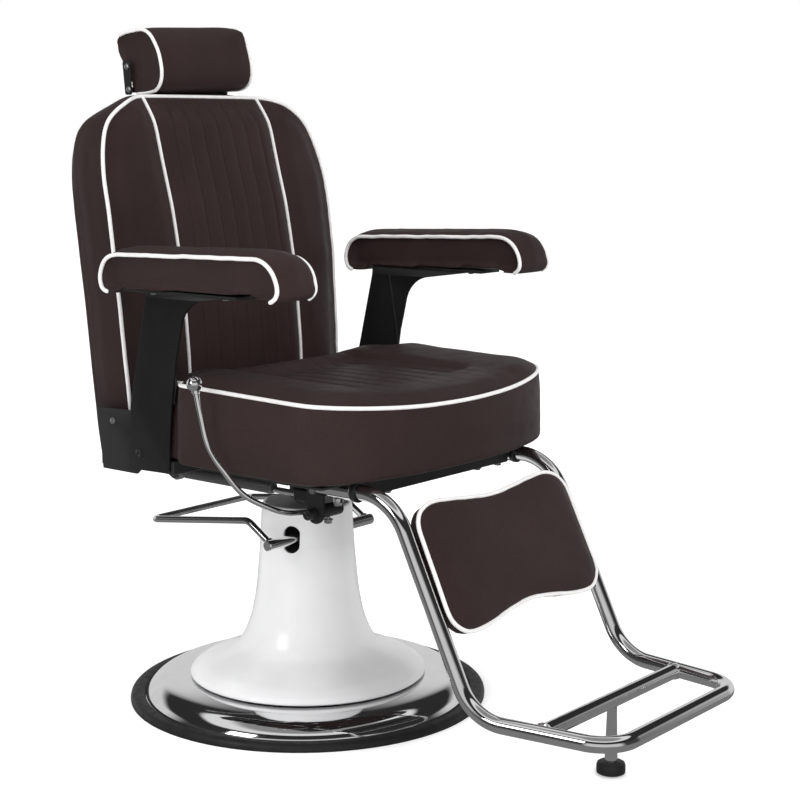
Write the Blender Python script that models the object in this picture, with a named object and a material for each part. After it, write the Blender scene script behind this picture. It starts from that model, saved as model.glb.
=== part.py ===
"""Hydraulic barber chair: pedestal with pump, swivel seat, reclining back, headrest and legrest.

Metres, +Z up. The origin is the centre of the base on the floor, the chair faces -Y,
and +X is the sitter's left. Run with: blender --background --python part.py
"""
import math

import bmesh
import bpy
from mathutils import Matrix, Vector

GAP = 0.0003                    # clearance between pieces that touch

# --- pedestal and pump ---
RING_OUTER_R = 0.310
RING_INNER_R = 0.284
BELL_R = 0.206
PEDESTAL_TOP_Z = 0.344
SHELL_T = 0.003                 # pedestal cover wall
PLATE_T = 0.010                 # base plate
HOUSING_R = 0.056
HOUSING_TOP_Z = 0.235
RAM_R = 0.019
RAM_TOP_Z = 0.400
SHAFT_Y = -0.031                # pump cross shaft, in front of the ram
SHAFT_Z = 0.2915
SHAFT_R = 0.0095
SHAFT_HALF = 0.134
FULCRUM_Y = 0.031               # the rocker's pivot, behind the ram
SLOT_WIDTH = 0.027
SLOT_HEIGHT = 0.047
PEDAL_X = 0.122                 # the pump lever's arms
PEDAL_ROD_R = 0.006

# --- seat structure ---
SOCKET_Z = (0.352, 0.4115)
MOUNT_PLATE_Z = (0.4118, 0.4178)
FRAME_Z = (0.4181, 0.4495)
BOARD_Z = (0.4498, 0.4618)
CUSHION_Z = (0.4621, 0.592)
RAIL_X = (0.1675, 0.1925)
FRAME_FRONT_Y = -0.2898
FRAME_REAR_Y = 0.100
SEAT_HALF = 0.303               # widest, ahead of the arm brackets
SEAT_NECK_HALF = 0.2715         # between the arm brackets
SEAT_NECK_Y = 0.012
SEAT_FRONT_Y = -0.352
SEAT_REAR_Y = 0.116

# --- arms ---
ARM_PLATE_X = (0.2800, 0.2850)
ARM_X = 0.304                   # centre of the armrest pad
ARM_HALF_W = 0.045
ARM_FRONT_Y = -0.264
ARM_REAR_Y = 0.128
ARM_PAD_Z = (0.7235, 0.803)
ARM_RECESS_Z = 0.7332           # flat underside between the pad's two ends
ARM_FLANGE_Z = (0.7270, 0.7328)

# --- backrest ---
RECLINE_Y = 0.112
RECLINE_Z = 0.455
SIDE_PLATE_X = (0.2747, 0.2795)
PIN_R = 0.006
CUSHION_T = 0.060               # backrest cushion, piping plane to board
BACK_BOARD_T = 0.012
REAR_GAP = 0.0150               # room for the headrest bar behind the board
REAR_COVER_T = 0.008
BACK_BOTTOM_Z = 0.438
# height, half width and front-edge depth of the backrest
BACK_LEVELS = [
    (0.438, 0.2560, 0.1500), (0.500, 0.2600, 0.1540), (0.600, 0.2656, 0.1610),
    (0.700, 0.2690, 0.1690), (0.800, 0.2712, 0.1800), (0.880, 0.2690, 0.1930),
    (0.930, 0.2635, 0.2045), (0.970, 0.2500, 0.2150), (1.000, 0.2290, 0.2235),
    (1.020, 0.2020, 0.2300), (1.033, 0.1600, 0.2345),
]
BACK_CROWN = 0.018              # how far the middle of the face stands forward

# --- headrest ---
HEAD_HALF = 0.1115
TILT_Y = 0.303
TILT_Z = 1.086
LINK_X = (0.1145, 0.1175)
BAR_LEAN = math.radians(14.5)
BAR_TOP_Y = 0.3158
BAR_TOP_Z = 1.046

# --- recline control ---
SPRING_X = -0.180
SPRING_Z = 0.4045
SPRING_R = 0.0130
SPRING_ROD_R = 0.005
SPRING_PIN_Y = 0.1300
RELEASE_Y = -0.197
RELEASE_Z = 0.383
BALL_R = 0.0125
LEVER_R = 0.0046

# --- legrest ---
TUBE_R = 0.0125
TUBE_X = 0.2085
TUBE_Z = 0.4325
SLEEVE_R = 0.0155
SLEEVE_BORE_R = 0.0130
SLEEVE_Y = (-0.222, -0.290)
COLLAR_R = 0.0168
COLLAR_LENGTH = 0.0105
KNEE_Y = -0.3645                # where the upper bend's two legs would meet
ANKLE_X = 0.2075
ANKLE_Y = -0.517
TOE_X = 0.178
TOE_Y = -0.745
FOOTREST_Z = 0.118
CROSSBAR_Y = -0.628
PAD_HALF_W = 0.1995
PAD_LENGTH = 0.205
PAD_START = 0.0245              # from the knee down the slope
PAD_FACE = 0.021                # the pad's face ahead of the tubes' plane


def clear_scene():
    for obj in list(bpy.data.objects):
        bpy.data.objects.remove(obj, do_unlink=True)


def material(name, colour, roughness, metallic=0.0):
    mat = bpy.data.materials.get(name)
    if mat:
        return mat
    mat = bpy.data.materials.new(name)
    mat.use_nodes = True
    shader = mat.node_tree.nodes["Principled BSDF"]
    shader.inputs["Base Color"].default_value = (*colour, 1.0)
    shader.inputs["Roughness"].default_value = roughness
    shader.inputs["Metallic"].default_value = metallic
    return mat


def chrome():
    return material("chrome", (0.80, 0.80, 0.82), 0.08, 1.0)


def black_steel():
    return material("black_steel", (0.015, 0.015, 0.016), 0.35, 0.2)


def white_paint():
    return material("white_paint", (0.88, 0.88, 0.88), 0.15)


def rubber():
    return material("rubber", (0.02, 0.02, 0.02), 0.6)


def black_plastic():
    return material("black_plastic", (0.02, 0.02, 0.022), 0.4)


def leather():
    return material("leather", (0.045, 0.028, 0.026), 0.5)


def plywood():
    return material("plywood", (0.55, 0.40, 0.25), 0.7)


def raw_steel():
    return material("raw_steel", (0.45, 0.45, 0.47), 0.35, 1.0)


JOINTS = {}


def joint_empty(name, place):
    empty = bpy.data.objects.new(name, None)
    empty.location = place
    bpy.context.scene.collection.objects.link(empty)
    JOINTS[name] = empty


def finish(bm, name, mat, joint=None, place=(0, 0, 0), smooth=True):
    """Makes the object from a bmesh whose coordinates are relative to place."""
    bmesh.ops.remove_doubles(bm, verts=bm.verts, dist=1e-6)
    bmesh.ops.recalc_face_normals(bm, faces=bm.faces)
    mesh = bpy.data.meshes.new(name)
    bm.to_mesh(mesh)
    bm.free()
    mesh.materials.append(mat)
    if smooth:
        mesh.shade_smooth()
        mesh.set_sharp_from_angle(angle=math.radians(35))
    obj = bpy.data.objects.new(name, mesh)
    bpy.context.scene.collection.objects.link(obj)
    obj.location = place
    if joint:
        obj.parent = JOINTS[joint]
        obj.matrix_parent_inverse = Matrix.Translation(-JOINTS[joint].location)
    return obj


def lofted(bm, rings, closed_ends=True, loop=False):
    """Skins rings of equal count; the ends are capped, or joined when loop is set."""
    made = [[bm.verts.new(p) for p in ring] for ring in rings]
    pairs = list(zip(made, made[1:]))
    if loop:
        pairs.append((made[-1], made[0]))
    count = len(made[0])
    for low, high in pairs:
        for i in range(count):
            j = (i + 1) % count
            bm.faces.new((low[i], low[j], high[j], high[i]))
    if closed_ends and not loop:
        bm.faces.new(made[0])
        bm.faces.new(made[-1])


def turned(profile, segments, hollow):
    """A profile of (radius, height) turned round Z. hollow joins its last point to its first."""
    bm = bmesh.new()
    angles = [2 * math.pi * i / segments for i in range(segments)]
    rings = [[(r * math.cos(a), r * math.sin(a), z) for a in angles] for r, z in profile]
    lofted(bm, rings, loop=hollow)
    return bm


def aimed(bm, axis):
    """Turns a bmesh made round Z to lie round X or Y instead."""
    turns = {"X": Matrix.Rotation(math.pi / 2, 4, "Y"), "Y": Matrix.Rotation(-math.pi / 2, 4, "X")}
    bm.transform(turns[axis])
    return bm


def cylinder(radius, low, high, axis="Z", segments=24):
    bm = turned([(radius, low), (radius, high)], segments, False)
    return bm if axis == "Z" else aimed(bm, axis)


def ring(outer, inner, low, high, axis="Z", segments=24):
    profile = [(outer, low), (outer, high), (inner, high), (inner, low)]
    bm = turned(profile, segments, True)
    return bm if axis == "Z" else aimed(bm, axis)


def block(low, high):
    bm = bmesh.new()
    bmesh.ops.create_cube(bm, size=1.0)
    size = Vector(high) - Vector(low)
    middle = (Vector(high) + Vector(low)) / 2
    bm.transform(Matrix.Translation(middle) @ Matrix.Diagonal((*size, 1.0)))
    return bm


def prism(outline, low, high, axis="X"):
    """Extrudes a 2-D outline: (y, z) points along X, or (x, y) points along Z."""
    bm = bmesh.new()
    if axis == "X":
        rings = [[(x, u, v) for u, v in outline] for x in (low, high)]
    else:
        rings = [[(u, v, z) for u, v in outline] for z in (low, high)]
    lofted(bm, rings)
    return bm


def arc(centre, radius, start, end, steps):
    """Points on a circle from start to end, in degrees."""
    angles = [math.radians(start + (end - start) * i / steps) for i in range(steps + 1)]
    return [(centre[0] + radius * math.cos(a), centre[1] + radius * math.sin(a)) for a in angles]


def filleted(points, radii, steps=7):
    """A polyline through 3-D points whose corners are rounded to the given radii."""
    points = [Vector(p) for p in points]
    path = [points[0]]
    for before, corner, after, radius in zip(points, points[1:], points[2:], radii):
        a = (before - corner).normalized()
        b = (after - corner).normalized()
        half = a.angle(b) / 2
        reach = radius / math.tan(half)
        start, end = corner + a * reach, corner + b * reach
        centre = corner + (a + b).normalized() * (radius / math.sin(half))
        first = (start - centre).normalized()
        sweep = first.angle(end - centre)
        second = first.cross(end - centre).cross(first).normalized()
        for i in range(steps + 1):
            angle = sweep * i / steps
            path.append(centre + (first * math.cos(angle) + second * math.sin(angle)) * radius)
    path.append(points[-1])
    return path


def swept(path, radius, sides=14):
    """A round bar along a path, with flat ends."""
    bm = bmesh.new()
    path = [Vector(p) for p in path]
    tangents = []
    for i, point in enumerate(path):
        before = path[max(i - 1, 0)]
        after = path[min(i + 1, len(path) - 1)]
        tangents.append((after - before).normalized())
    side = tangents[0].orthogonal().normalized()
    rings = []
    for point, tangent in zip(path, tangents):
        side = (side - tangent * side.dot(tangent)).normalized()
        up = tangent.cross(side)
        turn = [2 * math.pi * i / sides for i in range(sides)]
        rings.append([point + side * radius * math.cos(a) + up * radius * math.sin(a) for a in turn])
    lofted(bm, rings)
    return bm


def joined(bms):
    """Several bmeshes as one temporary mesh list for a Boolean union."""
    meshes = []
    for bm in bms:
        bmesh.ops.recalc_face_normals(bm, faces=bm.faces)
        mesh = bpy.data.meshes.new("piece")
        bm.to_mesh(mesh)
        bm.free()
        meshes.append(mesh)
    return meshes


def boolean(obj, bms, operation):
    """Adds EXACT Boolean modifiers to obj, one for each bmesh, which becomes a hidden guide."""
    for mesh in joined(bms):
        guide = bpy.data.objects.new("guide", mesh)
        bpy.context.scene.collection.objects.link(guide)
        guide.hide_render = True
        guide.display_type = "WIRE"
        guide.location = obj.location
        if obj.parent:
            guide.parent = obj.parent
            guide.matrix_parent_inverse = obj.matrix_parent_inverse.copy()
        cut = obj.modifiers.new(operation.title(), "BOOLEAN")
        cut.operation = operation
        cut.solver = "EXACT"
        cut.object = guide
    return obj


# ---------------------------------------------------------------- pedestal

def make_base():
    rim = [(RING_OUTER_R, 0.0), (RING_OUTER_R, 0.007), (RING_OUTER_R - 0.004, 0.0115),
           (RING_OUTER_R - 0.012, 0.0135), (RING_INNER_R + 0.004, 0.0125), (RING_INNER_R, 0.009),
           (RING_INNER_R, 0.0)]
    finish(turned(rim, 48, True), "floor_ring", rubber())

    finish(cylinder(RING_INNER_R - 0.010, 0.0, PLATE_T, segments=40), "base_plate", black_steel())

    top = [(RING_INNER_R - 0.001, 0.0115), (0.2775, 0.0200), (0.2690, 0.0290), (0.2560, 0.0345),
           (0.2300, 0.0370), (0.1000, 0.0430)]
    under = [(r - 0.0015, z - 0.0030) for r, z in top[::-1]]
    finish(turned(top + under[:-1] + [(RING_INNER_R - 0.001, 0.0085)], 48, True), "base_dish", chrome())


def pedestal_profile():
    """Outer radius against height: a rolled rim, a bell and a tapering neck."""
    return [
        (BELL_R - 0.0015, 0.0405), (BELL_R, 0.0445), (0.2020, 0.0530), (0.1900, 0.0600),
        (0.1650, 0.0690), (0.1400, 0.0800), (0.1220, 0.0935), (0.1120, 0.1080), (0.0985, 0.1465),
        (0.0880, 0.2006), (0.0820, 0.2600), (0.0785, 0.3330), (0.0765, 0.3410),
        (0.0725, PEDESTAL_TOP_Z),
    ]


def slot_cutter():
    """An upright slot with round ends, running along X through both walls of the neck."""
    r = SLOT_WIDTH / 2
    straight = (SLOT_HEIGHT - SLOT_WIDTH) / 2
    outline = arc((SHAFT_Y, SHAFT_Z + straight), r, 0, 180, 10)
    outline += arc((SHAFT_Y, SHAFT_Z - straight), r, 180, 360, 10)
    return prism(outline, -0.12, 0.12)


def make_pedestal_cover():
    outer = pedestal_profile()
    inner = [(r - SHELL_T, z - (0.0030 if z > 0.34 else 0.0015)) for r, z in outer[::-1]]
    inner[-1] = (BELL_R - 0.0045, 0.0405)
    cover = finish(turned(outer + inner, 48, True), "pedestal_cover", white_paint())
    boolean(cover, [slot_cutter()], "DIFFERENCE")

    cap = ring(0.0698, RAM_R + 0.003, PEDESTAL_TOP_Z - 0.0085, PEDESTAL_TOP_Z - 0.0045, segments=40)
    finish(cap, "pedestal_cap", black_steel())


def make_pump():
    low = PLATE_T + GAP
    housing = [(0.080, low), (0.080, low + 0.012), (HOUSING_R, low + 0.013), (HOUSING_R, HOUSING_TOP_Z),
               (RAM_R + 0.0010, HOUSING_TOP_Z), (RAM_R + 0.0010, 0.030), (0.0, 0.030), (0.0, low)]
    housing = [(max(r, 0.0005), z) for r, z in housing]
    body = finish(turned(housing, 32, True), "pump_housing", black_steel())
    boolean(body, [cylinder(0.0065, 0.150, 0.30, segments=16)], "DIFFERENCE")
    body.modifiers[-1].object.location = (0, SHAFT_Y - 0.005, 0)

    gland = ring(0.0225, RAM_R + 0.0006, HOUSING_TOP_Z + GAP, 0.2500, segments=32)
    finish(gland, "ram_gland", raw_steel())

    foot_z = (HOUSING_TOP_Z + GAP, HOUSING_TOP_Z + 0.006)
    bracket = finish(block((-0.0390, 0.0245, foot_z[0]), (0.0390, 0.0480, foot_z[1])),
                     "fulcrum_bracket", black_steel(), smooth=False)
    ears = [block((x - 0.0020, 0.0220, foot_z[0]), (x + 0.0020, 0.0420, SHAFT_Z + 0.011))
            for x in (-0.0370, 0.0370)]
    boolean(bracket, ears, "UNION")
    hole = aimed(turned([(0.0053, -0.06), (0.0053, 0.06)], 20, False), "X")
    hole.transform(Matrix.Translation((0, FULCRUM_Y, SHAFT_Z)))
    boolean(bracket, [hole], "DIFFERENCE")
    finish(cylinder(0.0050, -0.0410, 0.0410, "X", 16), "fulcrum_pin", raw_steel(),
           place=(0, FULCRUM_Y, SHAFT_Z))

    ram = finish(turned([(RAM_R, 0.0310), (RAM_R, RAM_TOP_Z - 0.002), (RAM_R - 0.002, RAM_TOP_Z)], 32, False),
                 "lift_ram", chrome(), "lift")
    return ram


def make_pump_lever():
    pivot = Vector((0, FULCRUM_Y, SHAFT_Z))
    for side, x in (("right", -0.0300), ("left", 0.0300)):
        outline = arc((FULCRUM_Y, SHAFT_Z), 0.0100, -90, 90, 8)
        outline += arc((SHAFT_Y, SHAFT_Z), 0.0145, 90, 270, 10)
        bm = prism(outline, x - 0.0025, x + 0.0025)
        bm.transform(Matrix.Translation(-pivot))
        plate = finish(bm, f"rocker_plate_{side}", raw_steel(), "pump_lever", pivot)
        holes = [cylinder(0.0054, x - 0.01, x + 0.01, "X", 20)]
        shaft_hole = cylinder(SHAFT_R + 0.0004, x - 0.01, x + 0.01, "X", 24)
        shaft_hole.transform(Matrix.Translation((0, SHAFT_Y - FULCRUM_Y, 0)))
        boolean(plate, holes + [shaft_hole], "DIFFERENCE")

    tip = 0.0015
    shaft = [(SHAFT_R - tip, -SHAFT_HALF), (SHAFT_R, -SHAFT_HALF + tip), (SHAFT_R, SHAFT_HALF - tip),
             (SHAFT_R - tip, SHAFT_HALF)]
    bm = aimed(turned(shaft, 24, False), "X")
    bm.transform(Matrix.Translation((0, SHAFT_Y - FULCRUM_Y, 0)))
    finish(bm, "pump_cross_shaft", chrome(), "pump_lever", pivot)

    bend = Vector((PEDAL_X, 0.024, 0.330))
    seat_point = Vector((PEDAL_X, SHAFT_Y, SHAFT_Z))
    start = seat_point + (bend - seat_point).normalized() * (SHAFT_R + 0.0010)
    heel = Vector((PEDAL_X, 0.262, 0.298))
    half = [start, bend, heel]
    points = half + [Vector((-p.x, p.y, p.z)) for p in half[::-1]]
    path = filleted(points, (0.022, 0.016, 0.016, 0.022), 5)
    bm = swept([p - pivot for p in path], PEDAL_ROD_R, 12)
    finish(bm, "pump_lever_bar", chrome(), "pump_lever", pivot)


def make_plunger():
    top = SHAFT_Z - SHAFT_R - 0.0012
    rod = turned([(0.0058, 0.170), (0.0058, top - 0.004), (0.0085, top - 0.004), (0.0085, top)], 16, False)
    finish(rod, "pump_plunger", raw_steel(), "plunger", (0, SHAFT_Y - 0.005, 0))


# ---------------------------------------------------------------- seat

def make_seat_mount():
    profile = [(RAM_R + 0.0008, SOCKET_Z[0]), (0.0300, SOCKET_Z[0]), (0.0300, 0.4030),
               (0.0550, 0.4050), (0.0550, SOCKET_Z[1]), (0.0005, SOCKET_Z[1]), (0.0005, 0.4025),
               (RAM_R + 0.0008, 0.4025)]
    finish(turned(profile, 32, True), "swivel_socket", black_steel(), "swivel")
    plate = block((-0.1000, -0.1200, MOUNT_PLATE_Z[0]), (0.1000, 0.1200, MOUNT_PLATE_Z[1]))
    finish(plate, "seat_mount_plate", black_steel(), "swivel", smooth=False)


def make_seat_frame():
    low, high = FRAME_Z
    rails = [block((s * RAIL_X[0] if s > 0 else -RAIL_X[1], FRAME_FRONT_Y, low),
                   (RAIL_X[1] if s > 0 else -RAIL_X[0], FRAME_REAR_Y, high)) for s in (1, -1)]
    front = block((-0.180, FRAME_FRONT_Y + 0.0005, low), (0.180, FRAME_FRONT_Y + 0.025, high - 0.0005))
    rear = block((-0.180, 0.0750, low + 0.0005), (0.180, FRAME_REAR_Y - 0.0005, high - 0.0005))
    middle = block((-0.180, -0.1150, low + 0.0005), (0.180, -0.0850, high - 0.0005))
    outriggers = [block((min(s * 0.185, s * 0.2797), 0.035, 0.4265),
                        (max(s * 0.185, s * 0.2797), 0.074, high - 0.001)) for s in (1, -1)]
    wings = [block((min(s * 0.185, s * 0.2800), -0.2160, 0.4425),
                   (max(s * 0.185, s * 0.2800), -0.1900, high - 0.0012)) for s in (1, -1)]
    guards = [block((min(s * 0.2350, s * 0.2795), -0.2850, 0.4430),
                    (max(s * 0.2350, s * 0.2795), -0.1950, high - 0.0016)) for s in (1, -1)]
    frame = finish(rails[0], "seat_frame", black_steel(), "swivel", smooth=False)
    boolean(frame, [front, middle, rear, rails[1], *outriggers, *wings, *guards], "UNION")


def seat_outline(inset=0.0, corner=12):
    """Plan outline, anticlockwise: a neck between the arms, wide sides, a round front."""
    half = SEAT_HALF - inset
    front_y = SEAT_FRONT_Y + inset
    shoulder_y = -0.215
    right = []
    for i in range(corner + 1):
        t = math.pi / 2 * i / corner
        x = half * math.sin(t) ** 0.80
        y = shoulder_y + (front_y - shoulder_y) * math.cos(t) ** 0.80
        right.append((x, y))
    right.append((half, -0.100))
    right.append((half - 0.001, SEAT_NECK_Y - 0.035))
    right += arc((half - 0.0180, SEAT_NECK_Y - 0.0150 - inset * 0.3), 0.0130, 0, 80, 3)
    neck = SEAT_NECK_HALF - inset
    right.append((neck, SEAT_NECK_Y + 0.001))
    right += arc((neck - 0.030, SEAT_REAR_Y - inset - 0.030), 0.030, 0, 90, 4)
    return right + [(-x, y) for x, y in right[::-1] if x > 1e-6]


def make_seat():
    finish(prism(seat_outline(0.018), *BOARD_Z, axis="Z"), "seat_board", plywood(), "swivel", smooth=False)
    levels = [(CUSHION_Z[0], 0.006), (0.480, 0.000), (0.540, 0.001), (0.572, 0.004), (0.584, 0.020),
              (CUSHION_Z[1], 0.060)]
    bm = bmesh.new()
    lofted(bm, [[(x, y, z) for x, y in seat_outline(inset)] for z, inset in levels])
    finish(bm, "seat_cushion", leather(), "swivel")


# ---------------------------------------------------------------- arms

def arm_plate_outline():
    """(y, z) of the upright plate: wide foot, narrower top and a forward arm under the pad."""
    top = ARM_FLANGE_Z[0] + 0.002
    fillet = arc((-0.042, 0.652), 0.052, 14, 78, 6)
    return [(0.139, 0.4255), (0.128, 0.543), (0.088, 0.713), (0.086, top), (-0.165, top),
            (-0.160, 0.7235), *fillet[::-1], (0.0245, 0.625), (0.0280, 0.571),
            (0.0360, 0.508), (0.0420, 0.432), (0.0450, 0.4285)]


def recline_hole(low, high):
    bm = cylinder(PIN_R + 0.0005, low, high, "X", 20)
    bm.transform(Matrix.Translation((0, RECLINE_Y, RECLINE_Z)))
    return bm


def make_arm(side):
    name = "left" if side > 0 else "right"
    low, high = sorted((side * ARM_PLATE_X[0], side * ARM_PLATE_X[1]))
    plate = finish(prism(arm_plate_outline(), low, high), f"arm_bracket_{name}", black_steel(), "swivel",
                   smooth=False)
    out = sorted((side * (ARM_PLATE_X[0] - 0.0015), side * 0.3350))
    flange = block((out[0], -0.1650, ARM_FLANGE_Z[0]), (out[1], 0.0840, ARM_FLANGE_Z[1]))
    boolean(plate, [flange], "UNION")
    boolean(plate, [recline_hole(low - 0.01, high + 0.01)], "DIFFERENCE")

    bottom, top = ARM_PAD_Z
    outline = arc((ARM_FRONT_Y + 0.022, bottom + 0.022), 0.022, 200, 300, 4)
    outline += [(-0.212, ARM_RECESS_Z), (0.100, ARM_RECESS_Z)]
    outline += arc((ARM_REAR_Y - 0.022, bottom + 0.022), 0.022, 260, 355, 4)
    outline += arc((ARM_REAR_Y - 0.040, top - 0.040), 0.040, 5, 90, 5)
    outline += arc((ARM_FRONT_Y + 0.048, top - 0.048), 0.048, 90, 180, 6)
    bm = bmesh.new()
    middle = Vector((0, (ARM_FRONT_Y + ARM_REAR_Y) / 2, (bottom + top) / 2))
    rings = []
    for x, shrink in ((-ARM_HALF_W, 0.95), (-ARM_HALF_W + 0.004, 1.0), (ARM_HALF_W - 0.004, 1.0),
                      (ARM_HALF_W, 0.95)):
        rings.append([(x, middle.y + (y - middle.y) * (1 - (1 - shrink) * 0.2),
                       ARM_RECESS_Z + (z - ARM_RECESS_Z) * (1.0 if z <= ARM_RECESS_Z else shrink))
                      for y, z in outline])
    lofted(bm, rings)
    finish(bm, f"armrest_pad_{name}", leather(), "swivel", (side * ARM_X, 0, 0))


def make_recline_pin(side):
    name = "left" if side > 0 else "right"
    low, high = sorted((side * (SIDE_PLATE_X[0] - 0.0005), side * (ARM_PLATE_X[1] + 0.0015)))
    finish(cylinder(PIN_R, low, high, "X", 16), f"recline_pin_{name}", raw_steel(), "swivel",
           (0, RECLINE_Y, RECLINE_Z))


# ---------------------------------------------------------------- backrest

def back_half_width(z):
    return level_value(z, 1)


def back_front_y(z):
    return level_value(z, 2)


def level_value(z, column):
    levels = BACK_LEVELS
    for low, high in zip(levels, levels[1:]):
        if z <= high[0]:
            t = (z - low[0]) / (high[0] - low[0])
            return low[column] + (high[column] - low[column]) * t
    return levels[-1][column]


def back_section(z, start, depth, crown, inset, steps=10):
    """Plan section of one layer of the backrest at height z, from start to start + depth."""
    half = back_half_width(z) - inset
    front = back_front_y(z) + start
    points = []
    for i in range(steps + 1):
        u = -1 + 2 * i / steps
        points.append((u * half, front - crown * (1 - u * u) * min(1.0, half / 0.22), z))
    points.append((half, front + depth, z))
    points.append((-half, front + depth, z))
    return points


def make_back_layer(name, mat, start, depth, crown, inset, bottom, top_trim):
    heights = [z for z, _, _ in BACK_LEVELS if z > bottom + 0.01 and z < BACK_LEVELS[-1][0] - top_trim - 0.004]
    heights = [bottom] + heights + [BACK_LEVELS[-1][0] - top_trim]
    bm = bmesh.new()
    lofted(bm, [back_section(z, start, depth, crown, inset) for z in heights])
    return finish(bm, name, mat, "recline")


def make_backrest():
    make_back_layer("backrest_cushion", leather(), 0.0, CUSHION_T - GAP, BACK_CROWN, 0.0,
                    BACK_BOTTOM_Z, 0.0)
    make_back_layer("backrest_board", plywood(), CUSHION_T, BACK_BOARD_T - GAP, 0.0, 0.020,
                    BACK_BOTTOM_Z + 0.002, 0.012)
    start = CUSHION_T + BACK_BOARD_T + REAR_GAP
    make_back_layer("backrest_rear_cover", leather(), start, REAR_COVER_T, 0.0, 0.008,
                    BACK_BOTTOM_Z + 0.002, 0.004)

    side_x = SIDE_PLATE_X[0] - GAP
    bar = finish(block((-side_x, 0.1500, 0.4240), (side_x, 0.2150, BACK_BOTTOM_Z - GAP)),
                 "backrest_lower_bar", black_steel(), "recline", smooth=False)
    ear = arc((SPRING_PIN_Y, SPRING_Z), 0.0090, 90, 290, 8)
    ear += [(0.1680, 0.4150), (0.1680, 0.4250), (0.1520, 0.4250)]
    ears = [prism(ear, x - 0.0020, x + 0.0020) for x in (SPRING_X - 0.0095, SPRING_X + 0.0095)]
    boolean(bar, ears, "UNION")
    pin_hole = cylinder(0.0043, SPRING_X - 0.02, SPRING_X + 0.02, "X", 16)
    pin_hole.transform(Matrix.Translation((0, SPRING_PIN_Y, SPRING_Z)))
    boolean(bar, [pin_hole], "DIFFERENCE")
    bm = cylinder(0.0040, SPRING_X - 0.0135, SPRING_X + 0.0135, "X", 14)
    finish(bm, "spring_rear_pin", raw_steel(), "recline", (0, SPRING_PIN_Y, SPRING_Z))


def make_side_plate(side):
    name = "left" if side > 0 else "right"
    low, high = sorted((side * SIDE_PLATE_X[0], side * SIDE_PLATE_X[1]))
    outline = arc((RECLINE_Y, RECLINE_Z), 0.0200, 80, 245, 10)
    outline += [(0.1240, 0.4176), (0.2070, 0.4176), (0.2180, 0.5200), (0.1300, 0.5230)]
    plate = finish(prism(outline, low, high), f"backrest_side_plate_{name}", black_steel(), "recline",
                   smooth=False)
    boolean(plate, [recline_hole(low - 0.01, high + 0.01)], "DIFFERENCE")


# ---------------------------------------------------------------- headrest

def lean(bm):
    """Leans a bmesh made upright round the bar's top into the headrest bar's line."""
    bm.transform(Matrix.Translation((0, BAR_TOP_Y, BAR_TOP_Z)) @ Matrix.Rotation(-BAR_LEAN, 4, "X"))
    return bm


def make_headrest_bar():
    post = lean(block((-0.0200, -0.0030, -0.1900), (0.0200, 0.0030, 0.0060)))
    yoke = finish(post, "headrest_yoke", black_steel(), "headrest_height", smooth=False)
    cross = block((-LINK_X[1] + 0.0005, 0.3035, 1.0420), (LINK_X[1] - 0.0005, 0.3105, 1.0515))
    neck = block((-0.0195, 0.3060, 1.0425), (0.0195, 0.3165, 1.0510))
    link = arc((TILT_Y + 0.0030, TILT_Z), 0.0095, 10, 170, 6)
    link += [(0.2955, 1.0440), (0.2985, 1.0385), (0.3080, 1.0380), (0.3115, 1.0430)]
    links = [prism(link, min(s * LINK_X[0], s * LINK_X[1]), max(s * LINK_X[0], s * LINK_X[1]))
             for s in (1, -1)]
    boolean(yoke, [cross, neck, *links], "UNION")
    hole = cylinder(0.0035, -0.13, 0.13, "X", 14)
    hole.transform(Matrix.Translation((0, TILT_Y, TILT_Z)))
    boolean(yoke, [hole], "DIFFERENCE")

    outer = lean(block((-0.0270, -0.0082, -0.0950), (0.0270, 0.0047, -0.0500)))
    guide = finish(outer, "headrest_guide", black_steel(), "recline", smooth=False)
    boolean(guide, [lean(block((-0.0206, -0.0035, -0.1100), (0.0206, 0.0035, -0.0350)))], "DIFFERENCE")


def headrest_outline():
    """(y, z) of the pad's end: round face, cut away low at the back for the yoke."""
    face = arc((0.2680, 1.1000), 0.0400, 170, 186, 2)
    top = arc((0.2650, 1.1200), 0.0320, 170, 100, 4)
    back = arc((0.3110, 1.1270), 0.0180, 70, -20, 4)
    foot = arc((0.2540, 1.0680), 0.0260, 268, 190, 4)
    return top + back + [(0.3160, 1.0930), (0.3000, 1.0560), (0.2960, 1.0430)] + foot + face[::-1][1:]


def make_headrest_pad():
    centre = Vector((0, TILT_Y, TILT_Z))
    bm = bmesh.new()
    middle_y, middle_z = 0.275, 1.095
    rings = []
    for x, shrink in ((-HEAD_HALF, 0.90), (-HEAD_HALF + 0.005, 1.0), (HEAD_HALF - 0.005, 1.0),
                      (HEAD_HALF, 0.90)):
        rings.append([Vector((x, middle_y + (y - middle_y) * shrink, middle_z + (z - middle_z) * shrink))
                      - centre for y, z in headrest_outline()])
    lofted(bm, rings)
    finish(bm, "headrest_pad", leather(), "headrest_tilt", centre)
    for side in (1, -1):
        name = "left" if side > 0 else "right"
        head = [(0.0030, HEAD_HALF + GAP), (0.0030, LINK_X[1] + GAP), (0.0060, LINK_X[1] + GAP),
                (0.0060, LINK_X[1] + 0.0030)]
        bm = aimed(turned(head, 14, False), "X")
        if side < 0:
            bm.transform(Matrix.Rotation(math.pi, 4, "Z"))
        finish(bm, f"headrest_screw_{name}", chrome(), "headrest_tilt", centre)


# ---------------------------------------------------------------- recline control

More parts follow.
